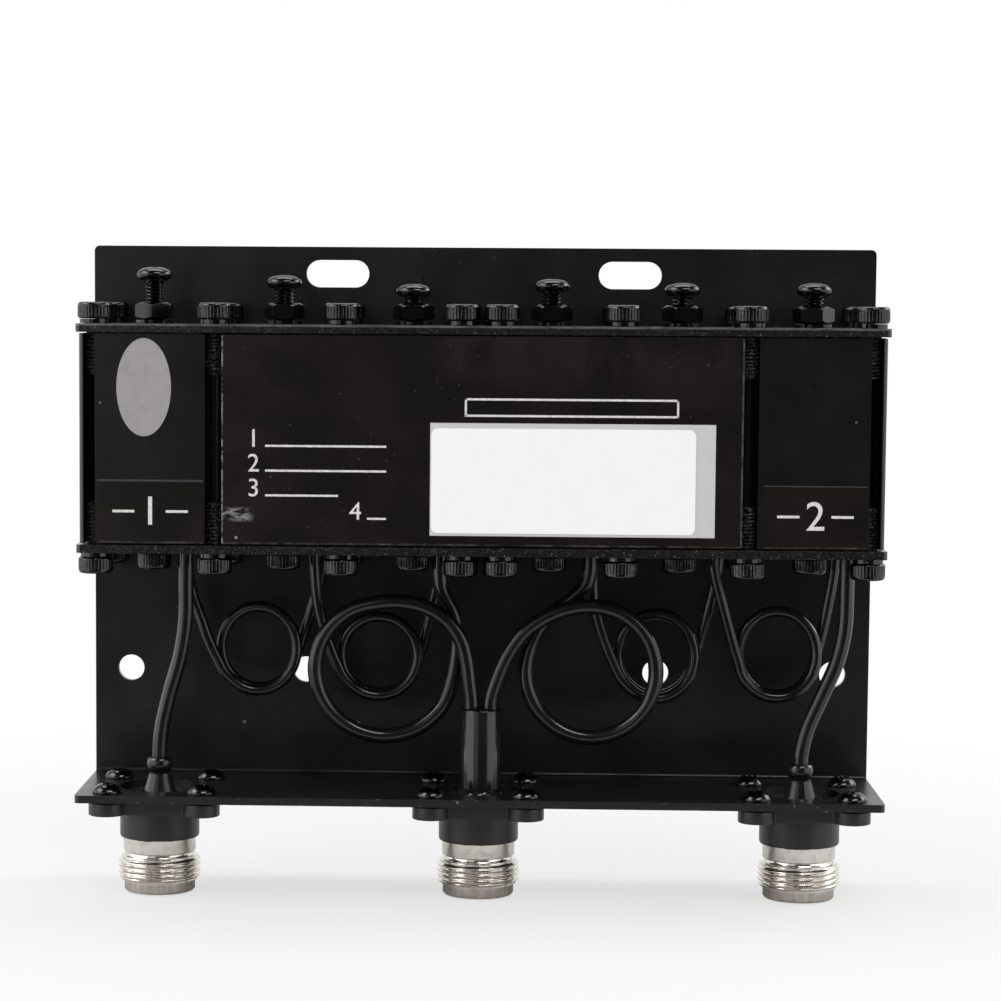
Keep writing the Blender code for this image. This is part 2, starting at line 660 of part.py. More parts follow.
def build_sockets(parts, cutters):
    """Panel sockets: flanged body, insulator and centre contact."""
    flange_bottom = FLANGE_TOP - FLANGE_THICKNESS
    neck_bottom = flange_bottom - NECK_LENGTH
    collar_bottom = neck_bottom - COLLAR_LENGTH
    thread_top = collar_bottom - UNDERCUT_LENGTH
    thread_bottom = thread_top - THREAD_LENGTH
    shoulder = FLANGE_TOP - REAR_BORE_LENGTH
    overlap = flange_bottom + FLANGE_THICKNESS / 2
    barrel_profile = [
        (NECK_DIAMETER / 2, overlap), (NECK_DIAMETER / 2, neck_bottom),
        (COLLAR_DIAMETER / 2, neck_bottom), (COLLAR_DIAMETER / 2, collar_bottom),
        (UNDERCUT_DIAMETER / 2, collar_bottom), (UNDERCUT_DIAMETER / 2, thread_top),
        (THREAD_DIAMETER / 2, thread_top), (THREAD_DIAMETER / 2, thread_bottom),
        (NOSE_DIAMETER / 2, thread_bottom), (NOSE_DIAMETER / 2, SOCKET_END + NOSE_CHAMFER),
        (NOSE_DIAMETER / 2 - NOSE_CHAMFER, SOCKET_END), (SOCKET_BORE / 2, SOCKET_END),
        (SOCKET_BORE / 2, shoulder), (REAR_BORE / 2, shoulder), (REAR_BORE / 2, overlap)]
    barrel = as_cutter(turned("barrel", barrel_profile, SOCKET_SIDES, cutters, closed=True))
    rear_hole = circle(0, 0, REAR_BORE / 2, SOCKET_SIDES)
    body = outline_solid("body", [flange_outline(), rear_hole], flange_bottom, FLANGE_TOP, parts)
    boolean(body, [barrel], "UNION")
    body = baked(body, "socket_body", parts)

    face = SOCKET_END + SOCKET_BORE_DEPTH
    plug = SOCKET_BORE / 2 - RUNNING
    rear = REAR_BORE / 2 - RUNNING
    hole = CONTACT_DIAMETER / 2 + RUNNING
    step = shoulder - SEAT
    insulator = turned("insulator", [(rear, FLANGE_TOP), (rear, step), (plug, step), (plug, face),
                                     (hole, face), (hole, FLANGE_TOP)], SMALL_SIDES, parts, closed=True)
    insulator = baked(insulator, "socket_insulator", parts)

    tip = SOCKET_END + CONTACT_RECESS
    tail = CONTACT_TAIL_DIAMETER / 2
    radius = CONTACT_DIAMETER / 2
    contact = turned("contact", [(0, FLANGE_TOP + CONTACT_TAIL_LENGTH), (tail, FLANGE_TOP + CONTACT_TAIL_LENGTH),
                                 (tail, FLANGE_TOP), (radius, FLANGE_TOP), (radius, tip),
                                 (CONTACT_BORE / 2, tip), (CONTACT_BORE / 2, tip + CONTACT_BORE_DEPTH),
                                 (0, tip + CONTACT_BORE_DEPTH)], SCREW_SIDES, parts)
    contact = baked(contact, "socket_contact", parts)

    groups = []
    for piece, word in ((body, "body"), (insulator, "insulator"), (contact, "contact")):
        places = [(f"connector_{word}_{port}", (x, -SOCKET_DEPTH, 0)) for port, x in SOCKET_XS.items()]
        groups.append(placed_copies(piece, places, parts))
    return groups


def build_ferrules(parts):
    """Cone and collar on each outer socket, and the sleeve on the middle one."""
    base = FLANGE_TOP + SEAT
    cone_top = base + CONE_HEIGHT
    top = cone_top + FERRULE_COLLAR_HEIGHT
    bore = PORT_LEAD / 2 + SEAT
    profile = [(FERRULE_COLLAR_DIAMETER / 2, top), (FERRULE_COLLAR_DIAMETER / 2, cone_top),
               (CONE_TOP_DIAMETER / 2, cone_top), (CONE_DIAMETER / 2, base), (bore, base), (bore, top)]
    ferrule = baked(turned("ferrule", profile, SMALL_SIDES, parts, closed=True), "ferrule", parts)
    places = [(f"cable_ferrule_{port}", (SOCKET_XS[port], -SOCKET_DEPTH, 0)) for port in ("low", "high")]
    ferrules = placed_copies(ferrule, places, parts)

    top = base + SLEEVE_HEIGHT
    profile = [(SLEEVE_DIAMETER / 2, top), (SLEEVE_DIAMETER / 2, base),
               (SLEEVE_BORE / 2, base), (SLEEVE_BORE / 2, top)]
    sleeve = baked(turned("sleeve", profile, SOCKET_SIDES, parts, closed=True), "sleeve", parts)
    place = [("antenna_cable_sleeve", (SLEEVE_SHIFT, -SOCKET_DEPTH, 0))]
    return ferrules + placed_copies(sleeve, place, parts)


# Leads: each starts beside the axis of a cavity, and its route is chosen by hand in X and Z
LEAD_TOP = BOX_BOTTOM + COVER_THICKNESS
STRAIGHT = 0.0035

# Port leads: the cavity, the start beside its axis, and points by the share of the way across
# from the start to the socket, with their heights
PORT_LEADS = {
    "low": {"cavity": 0, "beside": 0.0064,
            "route": [(0.0, -0.012), (0.02, -0.0195), (0.23, -0.0265), (0.66, -0.0345), (0.93, -0.041)]},
    "high": {"cavity": 5, "beside": 0.00705,
             "route": [(0.0, -0.012), (0.03, -0.02), (0.2, -0.0265), (0.5, -0.0325),
                       (0.855, -0.0395), (0.99, -0.0445)]},
}

# Antenna leads: points in and the loop's centre across from the start, and points out across
# from the sleeve, with their heights; the loop's radii, and its angles in degrees
ANTENNA_LEADS = {
    "low": {"cavity": 2, "beside": 0.00535, "sleeve_side": -1,
            "lead_in": [(0.0, -0.0095), (0.0004, -0.0132), (0.0026, -0.0178), (0.0036, -0.0225)],
            "centre": (-0.0106, -0.02876), "radii": (0.01354, 0.0133), "angles": (-5, -270),
            "lead_out": [(-0.0149, -0.0155), (-0.0118, -0.0161), (-0.0087, -0.0175), (-0.006, -0.01975),
                         (-0.004, -0.0227), (-0.0029, -0.0266), (-0.0023, -0.031)]},
    "high": {"cavity": 3, "beside": 0.00785, "sleeve_side": 1,
             "lead_in": [(0.0, -0.0095), (-0.0007, -0.012), (-0.0036, -0.015), (-0.0076, -0.018)],
             "centre": (0.0004, -0.0289), "radii": (0.0127, 0.013), "angles": (155, 450),
             "lead_out": [(0.015, -0.017), (0.0089, -0.0206), (0.0052, -0.0255), (0.0027, -0.0315)]},
}

# Coupling leads: the cavities, the ends beside their axes, the loop's centre across from the
# middle between the ends, its height and radii, and points in, seen from the loop's centre
COUPLING_LEADS = [
    {"cavities": (0, 1), "beside": (0.0058, 0.00725), "centre": (0.00083, -0.02565), "radii": (0.0075, 0.00815),
     "lead_in": [(-0.013, 0.0107), (-0.0115, 0.0064), (-0.0099, 0.0019), (-0.008, -0.0022)]},
    {"cavities": (1, 2), "beside": (0.0058, 0.0054), "centre": (0.0004, -0.0269), "radii": (0.0076, 0.0077),
     "lead_in": [(-0.0122, 0.0109), (-0.0113, 0.0068), (-0.0099, 0.0026), (-0.0082, -0.0016)]},
    {"cavities": (3, 4), "beside": (0.0086, 0.00815), "centre": (0.0003, -0.0264), "radii": (0.0076, 0.00825),
     "lead_in": [(-0.0124, 0.0105), (-0.0114, 0.0065), (-0.0101, 0.0026), (-0.0084, -0.0015)]},
    {"cavities": (4, 5), "beside": (0.0071, 0.00575), "centre": (0.0009, -0.0258), "radii": (0.0076, 0.0084),
     "lead_in": [(-0.0112, 0.0102), (-0.0101, 0.0063), (-0.009, 0.0024), (-0.0078, -0.0015)]},
]


def lead_start(plan):
    return cavity_xs()[plan["cavity"]] + plan["beside"]


def coupling_ends(plan):
    xs = cavity_xs()
    return [xs[cavity] + beside for cavity, beside in zip(plan["cavities"], plan["beside"])]


def lead_exits():
    """Every hole that a lead needs in the bottom cover: place, depth and diameter."""
    exits = [(lead_start(plan), SOCKET_DEPTH, PORT_LEAD) for plan in PORT_LEADS.values()]
    exits += [(lead_start(plan), ANTENNA_START_DEPTH, PORT_LEAD) for plan in ANTENNA_LEADS.values()]
    for plan in COUPLING_LEADS:
        start, end = coupling_ends(plan)
        exits += [(start, COUPLING_START_DEPTH, COUPLING_LEAD), (end, COUPLING_END_DEPTH, COUPLING_LEAD)]
    return exits


def port_lead(port, parts):
    plan = PORT_LEADS[port]
    start = lead_start(plan)
    socket_x = SOCKET_XS[port]
    points = [(start, -SOCKET_DEPTH, LEAD_TOP)]
    points += [(start + share * (socket_x - start), -SOCKET_DEPTH, z) for share, z in plan["route"]]
    ferrule_top = FLANGE_TOP + SEAT + CONE_HEIGHT + FERRULE_COLLAR_HEIGHT
    points += [(socket_x, -SOCKET_DEPTH, ferrule_top), (socket_x, -SOCKET_DEPTH, LEAD_END)]
    return tube(f"port_cable_{port}", smooth_route(points, 1.4 * PORT_LEAD), PORT_LEAD, parts)


def antenna_lead(side, parts):
    """Down from the box behind, once round the loop, and in front of itself into the sleeve."""
    plan = ANTENNA_LEADS[side]
    start_x = lead_start(plan)
    points = [(start_x, -ANTENNA_START_DEPTH, LEAD_TOP)]
    points += [(start_x + x, -ANTENNA_START_DEPTH, z) for x, z in plan["lead_in"]]
    start, end = (math.radians(a) for a in plan["angles"])
    count = round(abs(end - start) / ANTENNA_LOOP_STEP)
    for i in range(count + 1):
        share = i / count
        angle = start + (end - start) * share
        depth = ANTENNA_START_DEPTH + (SOCKET_DEPTH - ANTENNA_START_DEPTH) * share
        points.append((start_x + plan["centre"][0] + plan["radii"][0] * math.cos(angle), -depth,
                       plan["centre"][1] + plan["radii"][1] * math.sin(angle)))
    points += [(SLEEVE_SHIFT + x, -SOCKET_DEPTH, z) for x, z in plan["lead_out"]]
    x = SLEEVE_SHIFT + plan["sleeve_side"] * TWIN_LEAD_SPACING / 2
    sleeve_top = FLANGE_TOP + SEAT + SLEEVE_HEIGHT
    points += [(x, -SOCKET_DEPTH, sleeve_top + PORT_LEAD / 2), (x, -SOCKET_DEPTH, sleeve_top - STRAIGHT),
               (x, -SOCKET_DEPTH, LEAD_END)]
    return tube(f"antenna_cable_{side}", smooth_route(points, 1.9 * PORT_LEAD), PORT_LEAD, parts)


def coupling_lead(name, plan, parts):
    """Down in front, round the loop and half round again behind, then up into the next cavity."""
    start, end = coupling_ends(plan)
    centre = (start + end) / 2 + plan["centre"][0]
    points = [(start, -COUPLING_START_DEPTH, LEAD_TOP), (start, -COUPLING_START_DEPTH, BOX_BOTTOM - STRAIGHT)]
    points += [(centre + x, -COUPLING_START_DEPTH, plan["centre"][1] + z) for x, z in plan["lead_in"]]
    first, last = (math.radians(a) for a in COUPLING_LOOP_ANGLES)
    count = round((last - first) / COUPLING_LOOP_STEP)
    for i in range(count + 1):
        share = i / count
        angle = first + (last - first) * share
        depth = COUPLING_START_DEPTH + (COUPLING_END_DEPTH - COUPLING_START_DEPTH) * share
        wide = COUPLING_LOOP_SPREAD * max(0.0, 1 - 4 * share)
        points.append((centre + (plan["radii"][0] + wide) * math.cos(angle), -depth,
                       plan["centre"][1] + (plan["radii"][1] + wide) * math.sin(angle)))
    points += [(end, -COUPLING_END_DEPTH, BOX_BOTTOM - STRAIGHT), (end, -COUPLING_END_DEPTH, LEAD_TOP)]
    return tube(name, smooth_route(points, 2.1 * COUPLING_LEAD), COUPLING_LEAD, parts, resolution=1)


def build_leads(parts):
    leads = [port_lead(port, parts) for port in PORT_LEADS]
    leads += [antenna_lead(side, parts) for side in ANTENNA_LEADS]
    for i, plan in enumerate(COUPLING_LEADS):
        leads.append(coupling_lead(f"coupling_cable_{i + 1}", plan, parts))
    return leads


def main():
    clear_scene()
    parts = new_collection("cavity_duplexer")
    cutters = new_collection("cutters")
    black = make_material("black_paint", (0.012, 0.012, 0.013), 0.35, 0.0)
    steel = make_material("black_screw", (0.02, 0.02, 0.021), 0.3, 0.6)
    nickel = make_material("nickel_plate", (0.62, 0.58, 0.53), 0.28, 1.0)
    white = make_material("insulator_white", (0.85, 0.84, 0.8), 0.5, 0.0)
    gold = make_material("contact_gold", (0.83, 0.62, 0.28), 0.25, 1.0)
    silver = make_material("helix_silver", (0.8, 0.79, 0.76), 0.25, 1.0)
    label = make_material("label_film", (0.014, 0.013, 0.014), 0.2, 0.0)

    finish(build_bracket(parts, cutters), black)
    finish(build_block("cavity_block_low", -1, parts), black)
    finish(build_block("cavity_block_high", 1, parts), black)
    finish(build_top_cover(parts, cutters), black)
    finish(build_bottom_cover(parts, cutters), black)
    finish(build_label(parts), label, smooth=False)
    for screw in build_cover_screws(parts, cutters):
        finish(screw, steel)
    screws, nuts = build_tuning(parts, cutters)
    for piece in screws + nuts:
        finish(piece, steel)
    for helix in build_helices(parts):
        finish(helix, silver)
    bodies, insulators, contacts = build_sockets(parts, cutters)
    for body, insulator, contact in zip(bodies, insulators, contacts):
        finish(body, nickel)
        finish(insulator, white)
        finish(contact, gold)
    for piece in build_ferrules(parts) + build_leads(parts):
        finish(piece, black)


main()
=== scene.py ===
"""Looks of the cavity duplexer: finishes, screws, sockets, leads, labels, studio and camera.

Lengths are in millimetres, in the frame of the CAD model, except where a name says otherwise.
"""
import math

import bmesh
import bpy
from mathutils import Matrix, Vector


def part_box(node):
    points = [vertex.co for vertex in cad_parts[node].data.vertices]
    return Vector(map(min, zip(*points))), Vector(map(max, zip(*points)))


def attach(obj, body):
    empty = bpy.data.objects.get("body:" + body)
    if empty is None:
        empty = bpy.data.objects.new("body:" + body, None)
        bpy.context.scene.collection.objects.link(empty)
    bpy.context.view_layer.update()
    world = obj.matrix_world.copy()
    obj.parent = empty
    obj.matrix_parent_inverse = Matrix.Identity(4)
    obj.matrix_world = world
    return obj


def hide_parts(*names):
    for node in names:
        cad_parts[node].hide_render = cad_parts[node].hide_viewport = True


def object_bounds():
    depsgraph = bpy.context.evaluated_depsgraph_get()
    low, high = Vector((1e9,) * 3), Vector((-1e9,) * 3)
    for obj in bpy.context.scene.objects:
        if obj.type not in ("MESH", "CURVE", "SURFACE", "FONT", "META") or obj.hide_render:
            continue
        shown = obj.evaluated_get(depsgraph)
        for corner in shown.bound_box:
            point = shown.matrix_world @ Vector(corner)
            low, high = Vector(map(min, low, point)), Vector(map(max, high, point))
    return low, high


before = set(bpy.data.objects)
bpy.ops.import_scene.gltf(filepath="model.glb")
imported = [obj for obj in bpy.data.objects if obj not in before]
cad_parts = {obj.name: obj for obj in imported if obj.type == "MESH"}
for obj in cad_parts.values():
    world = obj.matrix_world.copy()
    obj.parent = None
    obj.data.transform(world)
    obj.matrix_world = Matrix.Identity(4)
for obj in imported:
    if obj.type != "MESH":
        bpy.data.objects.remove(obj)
cad_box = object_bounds()
MM = 0.001


def add_object(name, data):
    obj = bpy.data.objects.new(name, data)
    bpy.context.scene.collection.objects.link(obj)
    return obj


# Camera of the photograph, fitted in pixels of its 1001 x 1001 frame
FRAME_PX = 1001
FOCAL_PX = 2923.96
CENTRE_PX = (418.67, 554.96)
CAMERA_PLACE = (5.687, -584.232, 43.284)
YAW, PITCH, ROLL = -1.796, 5.001, 0.377
SENSOR = 36.0


def make_camera():
    yaw, pitch, roll = (math.radians(a) for a in (YAW, PITCH, ROLL))
    view = (Matrix.Rotation(roll, 3, "Y") @ Matrix.Rotation(pitch, 3, "X")
            @ Matrix.Rotation(yaw, 3, "Z"))
    right, forward, up = view[0], view[1], view[2]
    data = bpy.data.cameras.new("camera")
    data.sensor_width = SENSOR
    data.lens = FOCAL_PX * SENSOR / FRAME_PX
    data.shift_x = 0.5 - CENTRE_PX[0] / FRAME_PX
    data.shift_y = CENTRE_PX[1] / FRAME_PX - 0.5
    data.clip_start = 0.01
    camera = add_object("camera", data)
    turn = Matrix((right, up, -forward)).transposed().to_4x4()
    camera.matrix_world = Matrix.Translation(Vector(CAMERA_PLACE) * MM) @ turn
    bpy.context.scene.camera = camera


# Shader maths
class Value:
    """A shader value: operators between values and numbers add Math nodes."""

    def __init__(self, nodes, socket):
        self.nodes = nodes
        self.socket = socket

    def maths(self, operation, first, second):
        return self.nodes.node("ShaderNodeMath", {"operation": operation}, {0: first, 1: second})

    def __add__(self, other):
        return self.maths("ADD", self, other)

    def __mul__(self, other):
        return self.maths("MULTIPLY", self, other)

    def __sub__(self, other):
        return self.maths("SUBTRACT", self, other)

    def __rsub__(self, other):
        return self.maths("SUBTRACT", other, self)

    def higher(self, other):
        return self.maths("MAXIMUM", self, other)

    __radd__ = __add__
    __rmul__ = __mul__


class Nodes:
    """Adds nodes to one tree and joins their sockets."""

    def __init__(self, tree):
        self.tree = tree

    def join(self, value, target):
        if isinstance(value, Value):
            self.tree.links.new(value.socket, target)
        else:
            target.default_value = value

    def node(self, kind, settings=None, inputs=None, output=0):
        node = self.tree.nodes.new(kind)
        for key, value in (settings or {}).items():
            setattr(node, key, value)
        for key, value in (inputs or {}).items():
            self.join(value, node.inputs[key])
        return Value(self, node.outputs[output])

    def fade(self, value, low, high):
        """0 below low and 1 above high, smooth between."""
        return self.node("ShaderNodeMapRange", {"interpolation_type": "SMOOTHSTEP"},
                         {"Value": value, "From Min": low, "From Max": high})

    def mix(self, mask, first, second):
        return self.node("ShaderNodeMix", {"data_type": "RGBA"}, {0: mask, 6: first, 7: second}, output=2)


class Finish(Nodes):
    """A material built round one Principled shader; its places are in the piece's own millimetres."""

    def __init__(self, name, colour, roughness, metallic=0.0):
        self.material = bpy.data.materials.new(name)
        self.material.use_nodes = True
        super().__init__(self.material.node_tree)
        self.shader = self.tree.nodes["Principled BSDF"]
        self.material.diffuse_color = colour
        self.set("Base Color", colour)
        self.set("Roughness", roughness)
        self.set("Metallic", metallic)

    def set(self, socket, value):
        self.join(value, self.shader.inputs[socket])

    def place(self, stretch=(1.0, 1.0, 1.0)):
        """The point of the surface in millimetres, stretched along the axes."""
        point = self.node("ShaderNodeTexCoord", output="Object")
        return self.node("ShaderNodeVectorMath", {"operation": "MULTIPLY"},
                         {0: point, 1: [s / MM for s in stretch]})

    def noise(self, lump, detail=3.0, roughness=0.5, stretch=(1.0, 1.0, 1.0)):
        """Cloudy noise with lumps of about the given size."""
        return self.node("ShaderNodeTexNoise", None, {"Vector": self.place(stretch), "Scale": 1.0 / lump,
                                                      "Detail": detail, "Roughness": roughness})

    def axis(self, letter):
        return self.node("ShaderNodeSeparateXYZ", None, {0: self.place()}, output="XYZ".index(letter))

    def bump(self, height, depth, strength):
        return self.node("ShaderNodeBump", None,
                         {"Height": height, "Distance": depth * MM, "Strength": strength})

    def dust(self, size, share):
        """A mask of a few small scattered specks."""
        return self.fade(self.noise(size, 1.0), share, share + 0.03)

    def spot(self, centre, radius):
        """A mask of one round mark about a point."""
        away = self.node("ShaderNodeVectorMath", {"operation": "DISTANCE"},
                         {0: self.place(), 1: centre}, output=1)
        return 1.0 - self.fade(away, radius * 0.6, radius)

    def between(self, letter, low, high, blur):
        """A mask of the band between two places on one axis."""
        at = self.axis(letter)
        return self.fade(at, low - blur, low) * (1.0 - self.fade(at, high, high + blur))


def grey(level):
    return (level, level, level, 1.0)


PAINT_BLACK = grey(0.0045)


# Finishes
def block_paint():
    """Semi-gloss black paint: slight orange peel, cloudy gloss and a few pale specks of dust."""
    paint = Finish("block_black_paint", PAINT_BLACK, 0.32)
    paint.set("Roughness", paint.fade(paint.noise(9.0, 4.0), 0.3, 0.75) * 0.1 + 0.2)
    marks = paint.dust(0.35, 0.8)
    for x, z in BLOCK_SPECKS:
        marks = marks.higher(paint.spot((x, BLOCK_FACE, z), 0.28))
    paint.set("Base Color", paint.mix(marks, PAINT_BLACK, grey(0.1)))
    paint.set("Normal", paint.bump(paint.noise(0.55, 2.0), 0.012, 0.6))
    return paint


def bracket_paint():
    """The bracket's paint, with pale spots along its cut edges: partly paint worn through to metal, partly a
    painted edge highlight.
    """
    paint = Finish("bracket_black_paint", PAINT_BLACK, 0.34)
    across = paint.node("ShaderNodeMath", {"operation": "ABSOLUTE"}, {0: paint.axis("X")})
    # Pale spots along the plate's ends and the shelf's front edge, partly worn paint and partly painted edge
    # highlight.
    end_edges = paint.fade(across, PLATE_HALF_WIDTH - 0.3, PLATE_HALF_WIDTH - 0.15)
    worn_and_highlit_edges = end_edges.higher(1.0 - paint.fade(paint.axis("Y"), SHELF_FRONT + 0.15, SHELF_FRONT + 0.3))
    worn = worn_and_highlit_edges * paint.fade(paint.noise(1.1, 5.0, 0.65), 0.63, 0.68)
    scratches = paint.fade(paint.noise(0.9, 3.0, 0.6, (0.25, 1.0, 1.6)), 0.77, 0.79)
    marks = paint.dust(0.35, 0.775).higher(scratches * 0.4).higher(worn)
    for x, y, z, radius in BRACKET_CHIPS:
        marks = marks.higher(paint.spot((x, y, z), radius))
    paint.set("Base Color", paint.mix(marks, PAINT_BLACK, grey(0.13)))
    paint.set("Roughness", paint.fade(paint.noise(12.0, 4.0), 0.3, 0.75) * 0.12 + 0.28)
    paint.set("Normal", paint.bump(paint.noise(0.5, 2.0), 0.012, 0.6))
    return paint


def cover_paint():
    """Thicker paint with a bumpy skin and grains caught in it, and a painted highlight in broken streaks
    along the top cover's front edge.
    """
    paint = Finish("cover_black_paint", grey(0.006), 0.3)
    grains = paint.fade(paint.noise(0.22, 2.0), 0.62, 0.72)
    at_front = 1.0 - paint.fade(paint.axis("Y"), COVER_LOW[1] + 0.2, COVER_LOW[1] + 0.7)
    # Painted highlight: paler paint in broken streaks along the top cover's front edge.
    edge = paint.between("Z", BOX_TOP - 0.3, BOX_TOP + 1.0, 0.15) * at_front
    edge = edge * (paint.fade(paint.noise(3.0, 5.0, 0.7, (0.5, 1.0, 1.0)), 0.25, 0.7) * 0.6 + 0.2)
    marks = paint.dust(0.3, 0.72).higher(edge)
    paint.set("Base Color", paint.mix(marks, grey(0.006), grey(0.13)))
    paint.set("Roughness", paint.fade(paint.noise(5.0, 4.0), 0.3, 0.75) * 0.12 + 0.16)
    paint.set("Normal", paint.bump(grains + paint.noise(0.7, 2.0) * 1.5, 0.045, 0.8))
    return paint


def black_oxide(name, rubbed_level):
    """Black oxide on steel, slightly oily: a dark metal with rubbed spots, dusty inside the grooves."""
    steel = Finish(name, grey(0.05), 0.25, 1.0)
    rubbed = steel.fade(steel.noise(0.7, 4.0, 0.7), 0.56, 0.72)
    dusty = steel.between("Z", BOX_BOTTOM + COVER, TOP_COVER_BOTTOM, 0.3)
    dirt = steel.fade(steel.noise(0.5, 3.0), 0.35, 0.7)
    oxide = steel.mix(rubbed, grey(0.04), grey(rubbed_level))
    steel.set("Base Color", steel.mix(dusty * dirt, oxide, grey(0.06)))
    steel.set("Metallic", 1.0 - dusty * dirt)
    steel.set("Roughness", dusty * dirt * 0.4 + steel.noise(0.4, 3.0) * 0.18 + 0.08)
    steel.set("Normal", steel.bump(steel.noise(0.12, 2.0), 0.004, 0.5))
    return steel


def lead_paint():
    """Thick gloss paint over the leads' jackets, with soft runs."""
    paint = Finish("lead_gloss_black", grey(0.005), 0.22)
    paint.set("Base Color", paint.mix(paint.dust(0.3, 0.76), grey(0.005), grey(0.06)))
    paint.set("Roughness", paint.fade(paint.noise(3.0, 2.0), 0.3, 0.8) * 0.1 + 0.14)
    paint.set("Normal", paint.bump(paint.noise(1.4, 3.0), 0.03, 0.5))
    return paint


def label_film():
    """Dark brown-black film: brown clouds, faint bubbles, scuffs, a painted reflection as a lighter patch at
    the top, and pale rims: scuffed and painted edge highlight at the left, painted edge highlights at the
    right, the foot and the port labels' tops.
    """
    film = Finish("label_brown_film", (0.0072, 0.0050, 0.0050, 1.0), 0.24)
    clouds = film.fade(film.noise(11.0, 3.0, 0.5, (0.6, 1.0, 1.0)), 0.38, 0.66)
    bubbles = film.fade(film.noise(2.4, 3.0), 0.52, 0.72)
    scuffs = film.fade(film.noise(1.2, 5.0, 0.65, (1.0, 1.0, 0.35)), 0.68, 0.84)
    # Pale lines along the film's edges: scuffs with a painted edge highlight at the left, painted edge
    # highlights at the right, along the foot and on the port labels' tops.
    left_rim_scuffs_and_highlight = film.between("X", -49.9, -49.05, 0.2) * film.fade(film.noise(1.6, 4.0, 0.7), 0.42, 0.55)
    right_rim_highlight = film.between("X", LABEL_RIGHT - 0.3, LABEL_RIGHT + 0.1, 0.1)
    right_rim_highlight = right_rim_highlight * film.fade(film.noise(1.2, 4.0, 0.7), 0.2, 0.7) * 0.35
    foot = film.between("Z", LABEL_FOOT, LABEL_FOOT + 0.35, 0.1)
    foot = foot * film.fade(film.noise(2.5, 4.0, 0.6), 0.3, 0.8) * 0.25
    port_top_highlight = film.between("Z", 8.45, 8.85, 0.08) * (1.0 - film.between("X", -50.5, 50.5, 0.5)) * 0.2
    # Painted reflection: a lighter patch on the label's upper right, in the scuffs' lighter brown.
    painted_reflection = film.between("X", -4.0, 47.0, 9.0) * film.between("Z", 30.5, 36.6, 5.0)
    painted_reflection = painted_reflection * film.fade(film.noise(5.0, 4.0, 0.6, (1.0, 1.0, 0.5)), 0.3, 0.75)
    wedge = film.between("X", -48.6, -45.0, 2.4) * film.between("Z", 1.6, 3.0, 0.9)
    wedge = wedge * film.fade(film.noise(0.9, 5.0, 0.7, (0.3, 1.0, 0.8)), 0.45, 0.6)
    marks = left_rim_scuffs_and_highlight.higher(wedge).higher(film.dust(0.3, 0.79)).higher(film.spot(LABEL_SPECK, 0.35))
    marks = marks.higher(foot).higher(port_top_highlight).higher(right_rim_highlight)
    brown = film.mix(clouds, (0.0056, 0.0040, 0.0040, 1.0), (0.0098, 0.0066, 0.0062, 1.0))
    brown = film.mix(scuffs.higher(painted_reflection), brown, (0.014, 0.0105, 0.010, 1.0))
    film.set("Base Color", film.mix(marks, brown, grey(0.2)))
    film.set("Roughness", scuffs * 0.15 + clouds * 0.04 + 0.2)
    film.set("Normal", film.bump(bubbles, 0.010, 0.4))
    return film


def sticker_paper(name, colour, roughness=0.5, shade=0.96, lump=4.0):
    """Paper or foil, slightly uneven in tone, with a fine grain."""
    paper = Finish(name, (*colour, 1.0), roughness)
    darker = [c * shade for c in colour]
    clouds = paper.fade(paper.noise(lump, 4.0), 0.35, 0.75)
    paper.set("Base Color", paper.mix(clouds, (*colour, 1.0), (*darker, 1.0)))
    paper.set("Normal", paper.bump(paper.noise(0.5, 5.0, 0.7), 0.006, 0.5))
    return paper


def pale_ink():
    ink = Finish("print_pale_ink", (0.62, 0.61, 0.60, 1.0), 0.45)
    worn = ink.fade(ink.noise(0.35, 3.0), 0.35, 0.6)
    ink.set("Base Color", ink.mix(worn, (0.50, 0.49, 0.48, 1.0), (0.68, 0.67, 0.66, 1.0)))
    return ink


def socket_nickel():
    """Bright nickel with turning marks and a tarnished nose below, black paint with a ragged edge above."""
    plate = Finish("socket_nickel_and_paint", (0.70, 0.66, 0.61, 1.0), 0.2, 1.0)
    rings = plate.noise(0.12, 2.0, 0.5, (0.02, 0.02, 1.0))
    stains = plate.fade(plate.noise(1.5, 4.0), 0.45, 0.75)
    nose = (1.0 - plate.fade(plate.axis("Z"), -70.7, -70.2)) * 0.7
    metal = plate.mix(stains, (0.72, 0.68, 0.63, 1.0), (0.56, 0.52, 0.47, 1.0))
    tarnish = nose * plate.fade(plate.noise(0.9, 4.0, 0.6, (1.0, 1.0, 0.2)), 0.2, 0.6)
    metal = plate.mix(tarnish, metal, (0.42, 0.36, 0.30, 1.0))
    ragged = plate.axis("Z") + plate.noise(1.3, 3.0, 0.6, (1.0, 1.0, 0.3)) * 0.7
    painted = plate.fade(ragged, -61.55, -61.5)
    plate.set("Base Color", plate.mix(painted, metal, grey(0.006)))
    plate.set("Metallic", 1.0 - painted)
    plate.set("Roughness", painted * 0.2 + rings * 0.14 + 0.1)
    plate.set("Normal", plate.bump(rings + painted * plate.noise(0.5, 2.0) * 4.0, 0.0025, 0.5))
    return plate


def even_finish(name, colour, metallic, lump, detail, swing, low):
    """One colour whose roughness varies from low, by swing, in lumps."""
    finish = Finish(name, (*colour, 1.0), low, metallic)
    finish.set("Roughness", finish.noise(lump, detail) * swing + low)
    return finish


def socket_resin():
    return even_finish("socket_insulator_white", (0.72, 0.71, 0.68), 0.0, 0.5, 2.0, 0.15, 0.33)


def contact_gold():
    return even_finish("contact_gold_plate", (0.80, 0.58, 0.26), 1.0, 0.3, 2.0, 0.15, 0.16)


def helix_silver():
    return even_finish("helix_silver_plate", (0.82, 0.81, 0.78), 1.0, 0.8, 3.0, 0.2, 0.15)


